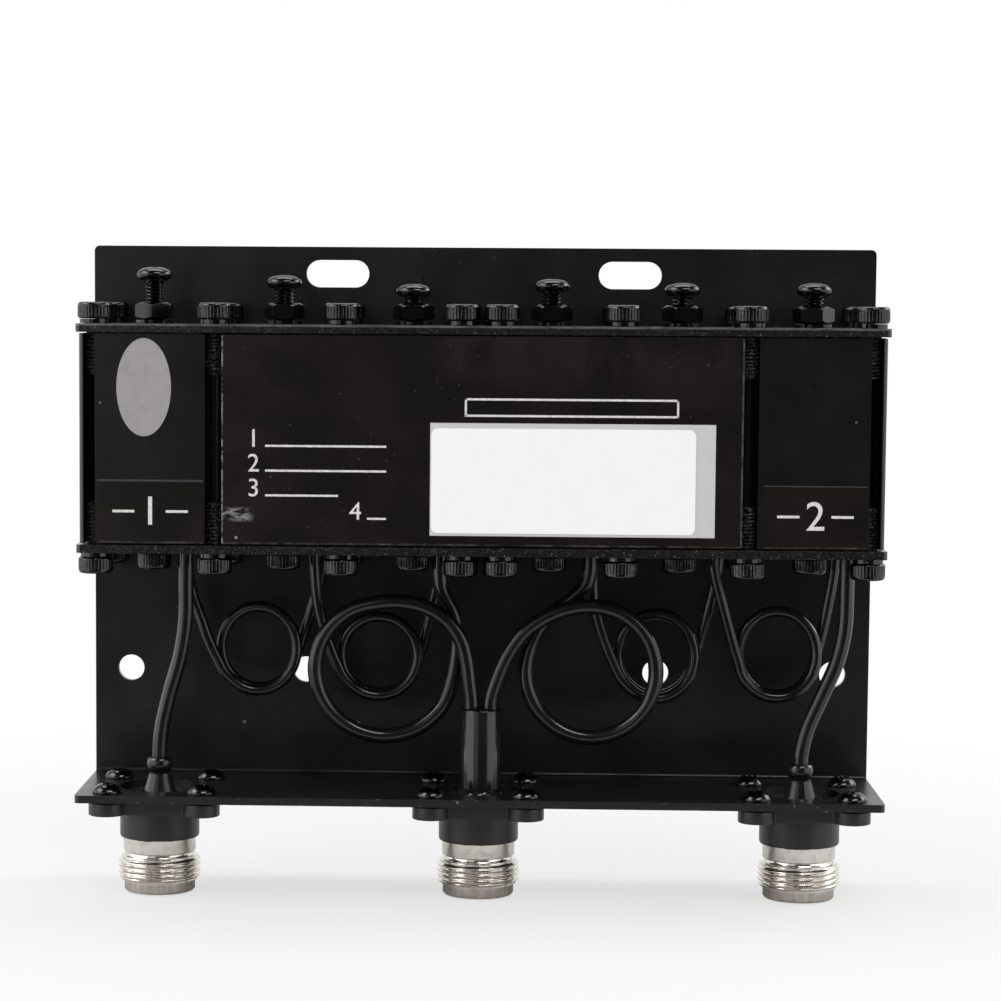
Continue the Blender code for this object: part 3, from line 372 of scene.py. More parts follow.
# Meshes
def from_bmesh(name, bm, smooth_deg):
    mesh = bpy.data.meshes.new(name)
    bmesh.ops.recalc_face_normals(bm, faces=bm.faces)
    bm.to_mesh(mesh)
    bm.free()
    if smooth_deg:
        mesh.shade_smooth()
        mesh.set_sharp_from_angle(angle=math.radians(smooth_deg))
    return mesh


def round_ring(bm, sides, height, radius_at):
    """Vertices round the upright axis at one height; radius_at(i) gives each one's radius."""
    ring = []
    for i in range(sides):
        radius, angle = radius_at(i) * MM, math.tau * i / sides
        ring.append(bm.verts.new((radius * math.cos(angle), radius * math.sin(angle), height * MM)))
    return ring


def skin(bm, first, second):
    """Faces between two rings of vertices, either of which may be a single point."""
    count = max(len(first), len(second))
    for i in range(count):
        j = (i + 1) % count
        corners = [first[i % len(first)], first[j % len(first)],
                   second[j % len(second)], second[i % len(second)]]
        bm.faces.new([v for k, v in enumerate(corners) if v not in corners[:k]])


def turned(name, profile, sides, tooth_depth=0.0, smooth_deg=35.0, closed=False):
    """A turned shape from (radius, height) points down its outer side.
    A point with a third value is knurled: its radius goes in by tooth_depth at every third vertex."""
    bm = bmesh.new()
    rings = []
    for radius, height, *knurled in profile:
        if radius < 1e-6:
            rings.append([bm.verts.new((0, 0, height * MM))])
        else:
            rings.append(round_ring(bm, sides, height,
                                    lambda i: radius - (tooth_depth if knurled and i % 3 == 2 else 0.0)))
    for upper, lower in zip(rings, rings[1:]):
        skin(bm, upper, lower)
    if closed:
        skin(bm, rings[-1], rings[0])
    return from_bmesh(name, bm, smooth_deg)


def threaded(name, radius, depth, pitch, low, high, sides=24, steps=6, bore=0.0):
    """A right-hand thread between two heights that runs out at both ends."""
    bm = bmesh.new()
    rings = []
    count = max(2, round((high - low) / pitch * steps))
    for k in range(count + 1):
        z = low + (high - low) * k / count
        run_out = min(1.0, 1.6 * min(z - low, high - z) / pitch)

        def thread_radius(i):
            phase = (z / pitch - i / sides) % 1.0
            crest = max(0.0, min(1.0, (1.0 - abs(2.0 * phase - 1.0)) * 1.35 - 0.1))
            return radius - depth * (1.0 - crest * run_out)

        rings.append(round_ring(bm, sides, z, thread_radius))
    if bore:
        first, last = (round_ring(bm, sides, z, lambda i: bore) for z in (low, high))
        rings = [first] + rings + [last]
        skin(bm, last, first)
    else:
        bm.faces.new(rings[0][::-1])
        bm.faces.new(rings[-1])
    for lower, upper in zip(rings, rings[1:]):
        skin(bm, lower, upper)
    return from_bmesh(name, bm, 60.0)


def spring_washer(name, outer, inner, height, rise):
    """A split ring of square section whose ends stand a little apart in height."""
    bm = bmesh.new()
    rings = []
    for k in range(WASHER_STEPS + 1):
        share = k / WASHER_STEPS
        angle = math.radians(WASHER_GAP_DEG / 2 + (360.0 - WASHER_GAP_DEG) * share)
        low = rise * share
        high = low + height - rise
        rings.append([bm.verts.new((r * MM * math.cos(angle), r * MM * math.sin(angle), z * MM))
                      for r, z in ((outer, low), (outer, high), (inner, high), (inner, low))])
    for first, second in zip(rings, rings[1:]):
        skin(bm, first, second)
    bm.faces.new(rings[0])
    bm.faces.new(rings[-1][::-1])
    return from_bmesh(name, bm, 40.0)


def prism(name, points, low, high, taper=1.0):
    """An upright prism over points in X and Y; taper scales its upper end about the middle."""
    bm = bmesh.new()
    lower = [bm.verts.new((x * MM, y * MM, low * MM)) for x, y in points]
    upper = [bm.verts.new((x * MM * taper, y * MM * taper, high * MM)) for x, y in points]
    bm.faces.new(lower[::-1])
    bm.faces.new(upper)
    skin(bm, lower, upper)
    return from_bmesh(name, bm, None)


def sweep(name, points, radius):
    """A round lead along points, with flat ends."""
    bm = bmesh.new()
    route = [Vector(p) * MM for p in points]
    side = Vector((0, -1, 0))
    angles = [math.tau * i / LEAD_SIDES for i in range(LEAD_SIDES)]
    rings = []
    for k, place in enumerate(route):
        ahead = (route[min(k + 1, len(route) - 1)] - route[max(k - 1, 0)]).normalized()
        side = (side - side.dot(ahead) * ahead).normalized()
        other = ahead.cross(side)
        rings.append([bm.verts.new(place + radius * MM * (math.cos(a) * side + math.sin(a) * other))
                      for a in angles])
    for first, second in zip(rings, rings[1:]):
        skin(bm, first, second)
    bm.faces.new(rings[0][::-1])
    bm.faces.new(rings[-1])
    return from_bmesh(name, bm, 40.0)


def smooth_route(points, spacing):
    """Points at an even spacing on a smooth curve through the given ones."""
    route = [Vector(p) for p in points]
    ends = [2 * route[0] - route[1]] + route + [2 * route[-1] - route[-2]]
    fine = []
    for a, b, c, d in zip(ends, ends[1:], ends[2:], ends[3:]):
        before, here, after = ((q - p).length ** 0.5 for p, q in ((a, b), (b, c), (c, d)))
        leaving = (b - a) * (here / before) ** 2 + (c - b)
        leaving = leaving * before / (before + here)
        reaching = (c - b) + (d - c) * (here / after) ** 2
        reaching = reaching * after / (here + after)
        for i in range(STEPS_PER_POINT):
            t = i / STEPS_PER_POINT
            fine.append(b + leaving * t + (3 * (c - b) - 2 * leaving - reaching) * t ** 2
                        + (leaving + reaching - 2 * (c - b)) * t ** 3)
    fine.append(route[-1])
    lengths = [0.0]
    for first, second in zip(fine, fine[1:]):
        lengths.append(lengths[-1] + (second - first).length)
    count = max(2, round(lengths[-1] / spacing))
    even = []
    at = 0
    for i in range(count + 1):
        wanted = lengths[-1] * i / count
        while at < len(fine) - 2 and lengths[at + 1] < wanted:
            at += 1
        share = (wanted - lengths[at]) / (lengths[at + 1] - lengths[at])
        even.append(fine[at].lerp(fine[at + 1], min(share, 1.0)))
    return even


def arc(x, y, radius, start, end, steps):
    angles = [math.radians(start + (end - start) * i / steps) for i in range(steps + 1)]
    return [(x + radius * math.cos(a), y + radius * math.sin(a)) for a in angles]


def ring_points(x, y, radius, sides):
    return arc(x, y, radius, 0, 360, sides)[:-1]


def rounded(x0, x1, y0, y1, radius):
    """A rectangle with rounded corners."""
    left, right, front, back = x0 + radius, x1 - radius, y0 + radius, y1 - radius
    corners = ((right, front, -90), (right, back, 0), (left, back, 90), (left, front, 180))
    return [point for x, y, start in corners for point in arc(x, y, radius, start, start + 90, CORNER_STEPS)]


def cylinder(x, y, radius, low, high, sides=40):
    return prism("round", ring_points(x, y, radius, sides), low, high)


def moved(mesh, x=0.0, y=0.0, z=0.0, turn_x=0.0, turn_z=0.0):
    """A copy of the mesh, turned in degrees and then moved."""
    copy = mesh.copy()
    turn = Matrix.Rotation(math.radians(turn_z), 4, "Z") @ Matrix.Rotation(math.radians(turn_x), 4, "X")
    copy.transform(Matrix.Translation((x * MM, y * MM, z * MM)) @ turn)
    return copy


def worked_out(obj):
    """The object's mesh with its modifiers applied; the object itself goes."""
    bpy.context.view_layer.update()
    mesh = bpy.data.meshes.new_from_object(obj.evaluated_get(bpy.context.evaluated_depsgraph_get()))
    bpy.data.objects.remove(obj, do_unlink=True)
    return mesh


def evenly_shaded(mesh, limit_deg):
    """The mesh shaded smooth over edges up to an angle, with its large faces shaded flat."""
    mesh.shade_smooth()
    mesh.set_sharp_from_angle(angle=math.radians(limit_deg))
    obj = add_object("shading", mesh)
    obj.modifiers.new("weigh", "WEIGHTED_NORMAL").keep_sharp = True
    return worked_out(obj)


def joined(name, *meshes):
    """One mesh that holds several."""
    bm = bmesh.new()
    for part in meshes:
        bm.from_mesh(part)
    mesh = bpy.data.meshes.new(name)
    bm.to_mesh(mesh)
    bm.free()
    return evenly_shaded(mesh, 40)


def shaped(mesh, cuts=(), kept=(), soften=0.0, segments=2, limit_deg=35.0):
    """The mesh less its cuts, inside what is kept, with its sharp edges softened."""
    obj = add_object("shaping", mesh)
    tools = []
    for operation, group in (("INTERSECT", kept), ("DIFFERENCE", cuts)):
        for tool_mesh in group:
            tools.append(add_object("tool", tool_mesh))
            modifier = obj.modifiers.new("cut", "BOOLEAN")
            modifier.operation = operation
            modifier.object = tools[-1]
    if soften:
        bevel = obj.modifiers.new("soften", "BEVEL")
        bevel.width = soften * MM
        bevel.segments = segments
        bevel.limit_method = "ANGLE"
        bevel.angle_limit = math.radians(limit_deg)
    result = worked_out(obj)
    for tool in tools:
        bpy.data.objects.remove(tool, do_unlink=True)
    return evenly_shaded(result, limit_deg)


def add_piece(name, mesh, finish, body="chassis", nodes=(), place=(0.0, 0.0, 0.0),
              turn_x=0.0, turn_z=0.0):
    """Place a piece, let it ride on its body and stand for its CAD nodes."""
    mesh = moved(mesh, *place, turn_x=turn_x, turn_z=turn_z)
    if not mesh.materials:
        mesh.materials.append(finish.material)
    obj = add_object(name, mesh)
    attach(obj, body)
    if nodes:
        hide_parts(*nodes)


def node_box(node):
    low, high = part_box(node)
    return [c / MM for c in low], [c / MM for c in high]


def node_middle(node):
    low, high = node_box(node)
    return [(a + b) / 2 for a, b in zip(low, high)]


# Places of the CAD model
PORTS = ("low", "antenna", "high")
PLATE_TOP = node_box("mounting_bracket")[1][2]
PLATE_HALF_WIDTH = node_box("mounting_bracket")[1][0]
SHEET = 1.5
BEND = 2.2
SHELF_UNDERSIDE = -53.5
SHELF_FRONT = node_box("mounting_bracket")[0][1]
COVER = 1.6
COVER_LOW, COVER_HIGH = node_box("top_cover")
TOP_COVER_BOTTOM = COVER_LOW[2]
BOX_TOP = TOP_COVER_BOTTOM + COVER
BOX_BOTTOM = -5.3
BLOCK_FACE = node_box("cavity_block_low")[0][1]
SCREW_XS = [node_middle(f"cover_screw_front_{i + 1}")[0] for i in range(8)]
FRONT_ROW = node_middle("cover_screw_front_1")[1]
BACK_ROW = node_middle("cover_screw_back_1")[1]
CAVITY_XS = [node_middle(f"tuning_screw_{i + 1}")[0] for i in range(6)]
CAVITY_Y = node_middle("tuning_screw_1")[1]
SOCKET_XS = [node_middle(f"connector_body_{port}")[0] for port in PORTS]
SOCKET_Y = node_middle("connector_body_low")[1]
FLANGE_HOLE = 9.13
FLANGE_TOP = -53.75
FLANGE_FOOT = -56.25

# Sizes that several pieces share: a thread is its radius, depth and pitch
SCREW_THREAD = (1.95, 0.42, 0.7)
WASHER_GAP_DEG = 10.0
WASHER_STEPS = 40
CORNER_STEPS = 6
LEAD_SIDES = 24
GLUE_SIDES = 96

# Marks of wear and dirt: specks by X and Z, and chips by their place and radius
BLOCK_SPECKS = ((-72.9, 36.7), (-66.3, 36.7), (-72.3, 23.3), (70.6, 20.7))
BRACKET_CHIPS = ((-77.5, -0.8, -38.5, 0.7), (-24.5, -1.5, -41.8, 0.5), (-47.5, -1.5, -41.8, 0.45))


# Bracket
SHEET_CORNER = 1.0
SLOT_RADIUS = 2.7
SLOT_REACH = 3.55
SLOT_X = 29.0
SLOT_DROP = 5.3
HOLE_RADIUS = 2.6
HOLE_XS = (70.3, 35.0)
HOLE_Z = -31.0
SHELF_HOLE_RADIUS = 7.7


def bracket_mesh():
    """The folded sheet with its slots, holes and rounded corners."""
    profile = [(0, PLATE_TOP)] + arc(-BEND, SHELF_UNDERSIDE + BEND, BEND, 0, -90, 10)
    profile += [(SHELF_FRONT, SHELF_UNDERSIDE), (SHELF_FRONT, SHELF_UNDERSIDE + SHEET)]
    profile += arc(-BEND, SHELF_UNDERSIDE + BEND, BEND - SHEET, -90, 0, 6) + [(-SHEET, PLATE_TOP)]
    folded = prism("bracket_sheet", profile, -PLATE_HALF_WIDTH, PLATE_HALF_WIDTH)
    folded.transform(Matrix(((0, 0, 1, 0), (1, 0, 0, 0), (0, 1, 0, 0), (0, 0, 0, 1))))
    bm = bmesh.new()
    bm.from_mesh(folded)
    corners = []
    for edge in bm.edges:
        a, b = (v.co / MM for v in edge.verts)
        at_end = min(a.z, b.z) > PLATE_TOP - 0.01 or max(a.y, b.y) < SHELF_FRONT + 0.01
        if abs(a.x - b.x) < 0.01 and at_end:
            corners.append(edge)
    bmesh.ops.bevel(bm, geom=corners, offset=SHEET_CORNER * MM, segments=6, profile=0.5, affect="EDGES")
    bm.to_mesh(folded)
    bm.free()
    holes = []
    for side in (-1, 1):
        slot = arc(SLOT_REACH, 0, SLOT_RADIUS, -90, 90, 14) + arc(-SLOT_REACH, 0, SLOT_RADIUS, 90, 270, 14)
        holes.append(moved(prism("slot", slot, -4, 4), side * SLOT_X, 0, PLATE_TOP - SLOT_DROP, turn_x=90))
        for x in HOLE_XS:
            holes.append(moved(cylinder(0, 0, HOLE_RADIUS, -4, 4), side * x, 0, HOLE_Z, turn_x=90))
    low, high = SHELF_UNDERSIDE - 3, SHELF_UNDERSIDE + 4
    holes += [cylinder(x, SOCKET_Y, SHELF_HOLE_RADIUS, low, high, 64) for x in SOCKET_XS]
    return shaped(folded, holes, soften=0.32, segments=3)


def cross_recess(top, width, length, depth):
    """Two tapered arms to cut from a screw head."""
    arms = []
    for x, y in ((width, length), (length, width)):
        x, y = 0.36 * x, 0.36 * y
        arms.append(prism("recess", [(-x, -y), (x, -y), (x, y), (-x, y)], top - depth, top + depth, 1.6))
    return arms


def add_bracket(paint, oxide):
    add_piece("bracket_sheet", bracket_mesh(), paint, nodes=["mounting_bracket"])
    head = turned("flange_screw", [(0, 1.9), (0.9, 1.84), (1.7, 1.6), (2.35, 1.15), (2.75, 0.5), (2.8, 0.15),
                                   (2.75, 0), (0, 0)], 32)
    head = shaped(head, cross_recess(1.9, 0.7, 2.7, 1.1), soften=0.05, segments=1)
    for port, x in zip(PORTS, SOCKET_XS):
        for i, (dx, dy) in enumerate(((-1, -1), (1, -1), (-1, 1), (1, 1))):
            place = (x + dx * FLANGE_HOLE, SOCKET_Y + dy * FLANGE_HOLE, SHELF_UNDERSIDE + SHEET)
            add_piece(f"flange_screw_{port}_{i + 1}", head, oxide, place=place,
                      turn_z=37 + 71 * i + x)


# Filter box
GROOVE_RADIUS = 2.3
GROOVE_MOUTH = 3.2
END_MOUTH = (-0.35, 1.95)
END_CORNER = 0.9
CAVITY_RADIUS = 11.5
COVER_CORNER = 1.0
TUNING_BORE = 2.4
SCREW_BORE = 2.25
LEAD_PLAY = 0.3


def mouth_angles(x):
    """Where the mouth of a screw groove starts and ends on its channel, in degrees from the mouth's middle.
    The mouths at the box's ends lie further out than their channels."""
    low, high = -GROOVE_MOUTH / 2, GROOVE_MOUTH / 2
    if abs(x) > SCREW_XS[-1] - 1:
        low, high = sorted(math.copysign(1, x) * edge for edge in END_MOUTH)
    return math.degrees(math.asin(low / GROOVE_RADIUS)), math.degrees(math.asin(high / GROOVE_RADIUS))


def corner(x, y, start):
    """One corner of a block, rounded at the box's ends by an arc that starts at an angle in degrees."""
    if abs(x) < SCREW_XS[-1]:
        return [(x, y)]
    middle_x = x - END_CORNER if start in (-90, 0) else x + END_CORNER
    middle_y = y + END_CORNER if start in (-90, 180) else y - END_CORNER
    return arc(middle_x, middle_y, END_CORNER, start, start + 90, 6)


def block_outline(x0, x1, face, back):
    """A block's outline with its screw grooves: round channels with narrower mouths."""
    columns = [x for x in SCREW_XS if x0 < x < x1]
    outline = corner(x0, face, 180)
    for x in columns:
        low, high = mouth_angles(x)
        channel = arc(x, FRONT_ROW, GROOVE_RADIUS, -90 + low, -450 + high, 18)
        outline += [(channel[0][0], face)] + channel + [(channel[-1][0], face)]
    outline += corner(x1, face, -90) + corner(x1, back, 0)
    for x in reversed(columns):
        low, high = mouth_angles(x)
        channel = arc(x, BACK_ROW, GROOVE_RADIUS, 90 - high, -270 - low, 18)
        outline += [(channel[0][0], back)] + channel + [(channel[-1][0], back)]
    return outline + corner(x0, back, 90)


def add_blocks(paint):
    for name in ("cavity_block_low", "cavity_block_high"):
        low, high = node_box(name)
        block = prism(name, block_outline(low[0], high[0], low[1], high[1]), low[2], high[2])
        bores = [cylinder(x, CAVITY_Y, CAVITY_RADIUS, low[2] - 1, high[2] + 1, 72)
                 for x in CAVITY_XS if low[0] < x < high[0]]
        block = shaped(block, bores, soften=0.2, segments=3)
        add_piece(f"{name}_body", block, paint, nodes=[name])


def add_cover(name, low, bores, paint):
    outline = rounded(COVER_LOW[0], COVER_HIGH[0], COVER_LOW[1], COVER_HIGH[1], COVER_CORNER)
    sheet = shaped(prism(name, outline, low, low + COVER), bores, soften=0.45, segments=4)
    add_piece(f"{name}_sheet", sheet, paint, nodes=[name])


def add_covers(paint, oxide):
    low, high = TOP_COVER_BOTTOM - 2, BOX_TOP + 2
    bores = [cylinder(x, CAVITY_Y, TUNING_BORE, low, high) for x in CAVITY_XS]
    bores += [cylinder(x, y, SCREW_BORE, low, high) for x in SCREW_XS for y in (FRONT_ROW, BACK_ROW)]
    add_cover("top_cover", TOP_COVER_BOTTOM, bores, paint)
    low, high = BOX_BOTTOM - 2, BOX_BOTTOM + 4
    bores = [cylinder(x, y, radius + LEAD_PLAY, low, high, 24) for x, y, radius in lead_exits()]
    add_cover("bottom_cover", BOX_BOTTOM, bores, paint)
    washer = spring_washer("nut_washer", 3.6, 2.15, 0.65, 0.1)
    for i, x in enumerate(CAVITY_XS):
        add_piece(f"nut_washer_{i + 1}", washer, oxide, place=(x, CAVITY_Y, BOX_TOP),
                  turn_z=-80 + 47 * i)


# Screws and nuts
CAP_SCREW_REACH = 9.6
BACK_SCREW_REACH = 0.8
HEX_KEY = 3.0
NUT_ACROSS_FLATS = 7.0
NUT_HEIGHT = 3.2
NUT_TURNS = (30, 0, 0, 0, 8, -10)
TUNING_HEAD_HEIGHT = 2.7
TUNING_REACH = 16.0
TUNING_TURNS = (12, 40, 65, 20, 51, 33)


def cap_screw_mesh(reach, with_thread=True):
    """A knurled cap screw with its spring washer, its seat at height 0 and its head above."""
    profile = [(0, 4.1), (2.6, 4.1), (2.88, 4.05), (3.1, 3.92), (3.23, 3.7), (3.28, 3.4),
               (3.3, 3.15, "knurled"), (3.3, 1.45, "knurled"), (3.24, 1.2), (3.0, 0.92), (0, 0.92)]
    head = turned("cap_head", profile, 105, tooth_depth=0.24, smooth_deg=28)
    lead_in = turned("lead_in", [(0, 5.0), (2.75, 5.0), (1.6, 3.85), (0, 3.85)], 36)
    hexagon = prism("hex_key", ring_points(0, 0, HEX_KEY / math.sqrt(3), 6), 2.3, 5)
    head = shaped(head, [hexagon, lead_in], limit_deg=28)
    washer = spring_washer("screw_washer", 2.9, 2.0, 0.92, 0.14)
    if with_thread:
        shank = threaded("shank", *SCREW_THREAD, -reach, 0.5)
    else:
        shank = turned("shank", [(0, 0.5), (1.9, 0.5), (1.9, 0.4 - reach), (1.5, -reach), (0, -reach)], 20)
    return joined("cap_screw", head, washer, shank)


def add_cap_screws(oxide):
    long_screw = cap_screw_mesh(CAP_SCREW_REACH)
    plain_screw = cap_screw_mesh(CAP_SCREW_REACH, with_thread=False)
    short_screw = cap_screw_mesh(BACK_SCREW_REACH, with_thread=False)
    upper_rows = (("front", FRONT_ROW, long_screw, 0), ("back", BACK_ROW, plain_screw, 50))
    lower_rows = (("front", FRONT_ROW, long_screw, 20), ("back", BACK_ROW, short_screw, 80))
    for i, x in enumerate(SCREW_XS):
        for side, y, screw, turn in upper_rows:
            name = f"cover_screw_{side}_{i + 1}"
            add_piece(f"{name}_turned", screw, oxide, nodes=[name], place=(x, y, BOX_TOP),
                      turn_z=137.5 * i + turn)
        for side, y, screw, turn in lower_rows:
            add_piece(f"bottom_screw_{side}_{i + 1}", screw, oxide, place=(x, y, BOX_BOTTOM),
                      turn_x=180, turn_z=137.5 * i + turn)
    for i, x in enumerate(CAVITY_XS):
        add_piece(f"bottom_screw_middle_{i + 1}", short_screw, oxide,
                  place=(x, CAVITY_Y, BOX_BOTTOM), turn_x=180, turn_z=100 * i)


def tuning_screw_mesh():
    """A pan-head screw with a cross recess, its head standing on height 0."""
    profile = [(0, TUNING_HEAD_HEIGHT), (0.9, 2.67), (1.8, 2.55), (2.6, 2.29), (3.12, 1.92), (3.4, 1.5),
               (3.45, 1.15), (3.34, 0.75), (3.0, 0.38), (2.45, 0.08), (2.1, 0.0), (0, 0.0)]
    recess = cross_recess(TUNING_HEAD_HEIGHT, 0.95, 3.9, 1.4)
    head = shaped(turned("pan_head", profile, 48), recess, soften=0.07, segments=1)
    return joined("tuning_screw", head, threaded("tuning_thread", *SCREW_THREAD, -TUNING_REACH, 0.3))


def lock_nut_mesh():
    """A hexagon nut with its corners turned off at both faces."""
    top = NUT_HEIGHT
    blank = prism("nut_blank", ring_points(0, 0, NUT_ACROSS_FLATS / math.sqrt(3), 6), 0, top)
    envelope = turned("nut_envelope", [(0, top), (3.1, top), (4.15, 2.5), (4.15, 0.5), (3.4, 0), (0, 0)], 60)
    entry = turned("entry", [(0, 5), (3.9, 5), (2.1, 2.9), (0, 2.9)], 40)
    cuts = [cylinder(0, 0, 2.1, -1, 5), entry]
    return shaped(blank, cuts, [envelope], soften=0.2, segments=3, limit_deg=25)


def add_tuning(oxide):
    screw, nut = tuning_screw_mesh(), lock_nut_mesh()
    for i, x in enumerate(CAVITY_XS):
        name = f"tuning_screw_{i + 1}"
        add_piece(f"{name}_turned", screw, oxide, body=name, nodes=[name],
                  place=(x, CAVITY_Y, node_box(name)[1][2] - TUNING_HEAD_HEIGHT), turn_z=TUNING_TURNS[i])
        name = f"lock_nut_{i + 1}"
        add_piece(f"{name}_turned", nut, oxide, body=name, nodes=[name],
                  place=(x, CAVITY_Y, node_box(name)[0][2]), turn_z=NUT_TURNS[i])


# Sockets
EAR_RADIUS = 3.57
WAIST_HALF = 10.0
SOCKET_THREAD = (7.9375, 0.62, 25.4 / 24)
TIP_THREAD = (1.45, 0.3, 0.5)


def flange_points():
    """Square waist with a round ear about each screw hole."""
    cut_back = math.degrees(math.asin((WAIST_HALF - FLANGE_HOLE) / EAR_RADIUS))
    points = []
    for quarter in range(4):
        turn = math.radians(90 * quarter)
        for x, y in arc(FLANGE_HOLE, FLANGE_HOLE, EAR_RADIUS, cut_back - 90, 180 - cut_back, 14):
            points.append((x * math.cos(turn) - y * math.sin(turn), x * math.sin(turn) + y * math.cos(turn)))
    return points


def socket_mesh():
    """Flange, neck, collar, thread and nose of a coaxial socket, and the tips of its four screws."""
    top, bottom = FLANGE_TOP, FLANGE_FOOT
    corners = [(dx * FLANGE_HOLE, dy * FLANGE_HOLE) for dx in (-1, 1) for dy in (-1, 1)]
    holes = [cylinder(x, y, 1.5, bottom - 1, top + 1, 24) for x, y in corners]
    holes.append(cylinder(0, 0, 4.0, bottom - 1, top + 1))
    flange = shaped(prism("flange", flange_points(), bottom, top), holes, soften=0.25)
    tip = threaded("screw_tip", *TIP_THREAD, bottom + 0.3, top, sides=16, steps=4)
    profile = [(4.2, bottom + 1), (7.75, bottom + 1), (7.75, -61.45), (7.6, -61.75), (7.1, -61.8),
               (7.05, -61.9), (7.05, -64.5), (6.95, -64.65), (6.5, -64.7), (6.45, -64.8), (6.45, -65.5),
               (6.9, -65.6), (6.9, -72.1), (6.6, -72.45), (4.75, -72.45), (4.3, -72.1), (4.3, -57.05),
               (4.2, -57.05)]
    barrel = turned("barrel", profile, 96, closed=True)
    thread = threaded("thread", *SOCKET_THREAD, -70.3, -65.5, sides=96, steps=10, bore=6.6)
    return joined("socket", flange, barrel, thread, *[moved(tip, x, y) for x, y in corners])


def insulator_mesh(node):
    low, high = node_box(node)
    profile = [(2.7, high[2]), (2.7, -57.35), (4.0, -57.35), (4.0, low[2] + 0.2), (3.8, low[2]),
               (1.8, low[2]), (1.8, high[2])]
    return turned("insulator", profile, 48, closed=True)


def contact_mesh(node):
    """A slotted centre contact with a round mouth, and its solder tail above."""
    low, high = node_box(node)
    tip = low[2]
    profile = [(0, high[2]), (0.8, high[2]), (0.8, FLANGE_TOP), (1.5, FLANGE_TOP), (1.5, tip + 0.25),
               (1.3, tip), (0.85, tip), (0.85, tip + 4.0), (0, tip + 4.0)]
    slit = prism("slit", [(-3, -0.12), (3, -0.12), (3, 0.12), (-3, 0.12)], tip - 1, tip + 3.2)
    return shaped(turned("contact", profile, 32), [slit, moved(slit, turn_z=90)])


def add_sockets(nickel, resin, gold):
    body = socket_mesh()
    for port, x in zip(PORTS, SOCKET_XS):
        place = (x, SOCKET_Y, 0)
        insulator, contact = f"connector_insulator_{port}", f"connector_contact_{port}"
        add_piece(f"socket_{port}", body, nickel, nodes=[f"connector_body_{port}"],
                  place=place)
        add_piece(f"socket_insulator_{port}", insulator_mesh(insulator), resin,
                  nodes=[insulator], place=place)
        add_piece(f"socket_contact_{port}", contact_mesh(contact), gold, nodes=[contact],
                  place=place)


# Ferrules, sleeve and leads
def add_ferrules(paint):
    profile = [(1.55, -46.25), (1.95, -46.2), (2.3, -46.5), (2.5, -47.1), (2.5, -48.1), (2.3, -48.8),
               (2.05, -49.2), (2.2, -49.8), (2.6, -51.0), (3.1, -52.5), (3.4, -53.3),
               (3.4, SHELF_UNDERSIDE), (1.6, SHELF_UNDERSIDE)]
    ferrule = turned("ferrule", profile, 48, closed=True, smooth_deg=50)
    for port in ("low", "high"):
        add_piece(f"ferrule_{port}", ferrule, paint, nodes=[f"cable_ferrule_{port}"],
                  place=(SOCKET_XS[PORTS.index(port)], SOCKET_Y, 0))


def add_sleeve(paint):
    x, y, _ = node_middle("antenna_cable_sleeve")
    tube = [(3.55, -36.3), (3.65, -36.2), (3.85, -36.2), (3.95, -36.35), (3.95, SHELF_UNDERSIDE),
            (3.55, SHELF_UNDERSIDE)]
    add_piece("lead_sleeve", turned("sleeve", tube, 64, closed=True), paint,
              nodes=["antenna_cable_sleeve"], place=(x, y, 0))
    filler = [(0, -36.9), (1.5, -36.85), (3.0, -36.95), (3.56, -36.7), (3.56, -38), (0, -38)]
    add_piece("sleeve_filler", turned("filler", filler, 48, smooth_deg=60), paint,
              place=(x, y, 0))
    add_piece("sleeve_glue", glue_mesh(), paint, place=(x, y, 0))


def glue_mesh():
    """A lumpy painted fillet of glue about the sleeve's foot."""
    bm = bmesh.new()
    profile = [(3.9, -51.6), (4.25, -51.9), (4.6, -52.4), (4.95, -53.0), (5.05, -53.45), (3.9, -53.45)]
    rings = []
    for k, (radius, height) in enumerate(profile):
        swell = 0.3 if 0 < k < len(profile) - 1 else 0.0

        def lumpy_radius(i):
            angle = math.tau * i / GLUE_SIDES
            return radius + swell * (math.sin(5 * angle + k) * math.sin(9 * angle + 1.7 * k))

        rings.append(round_ring(bm, GLUE_SIDES, height, lumpy_radius))
    for upper, lower in zip(rings, rings[1:]):
        skin(bm, upper, lower)
    skin(bm, rings[-1], rings[0])
    return from_bmesh("glue", bm, 70.0)


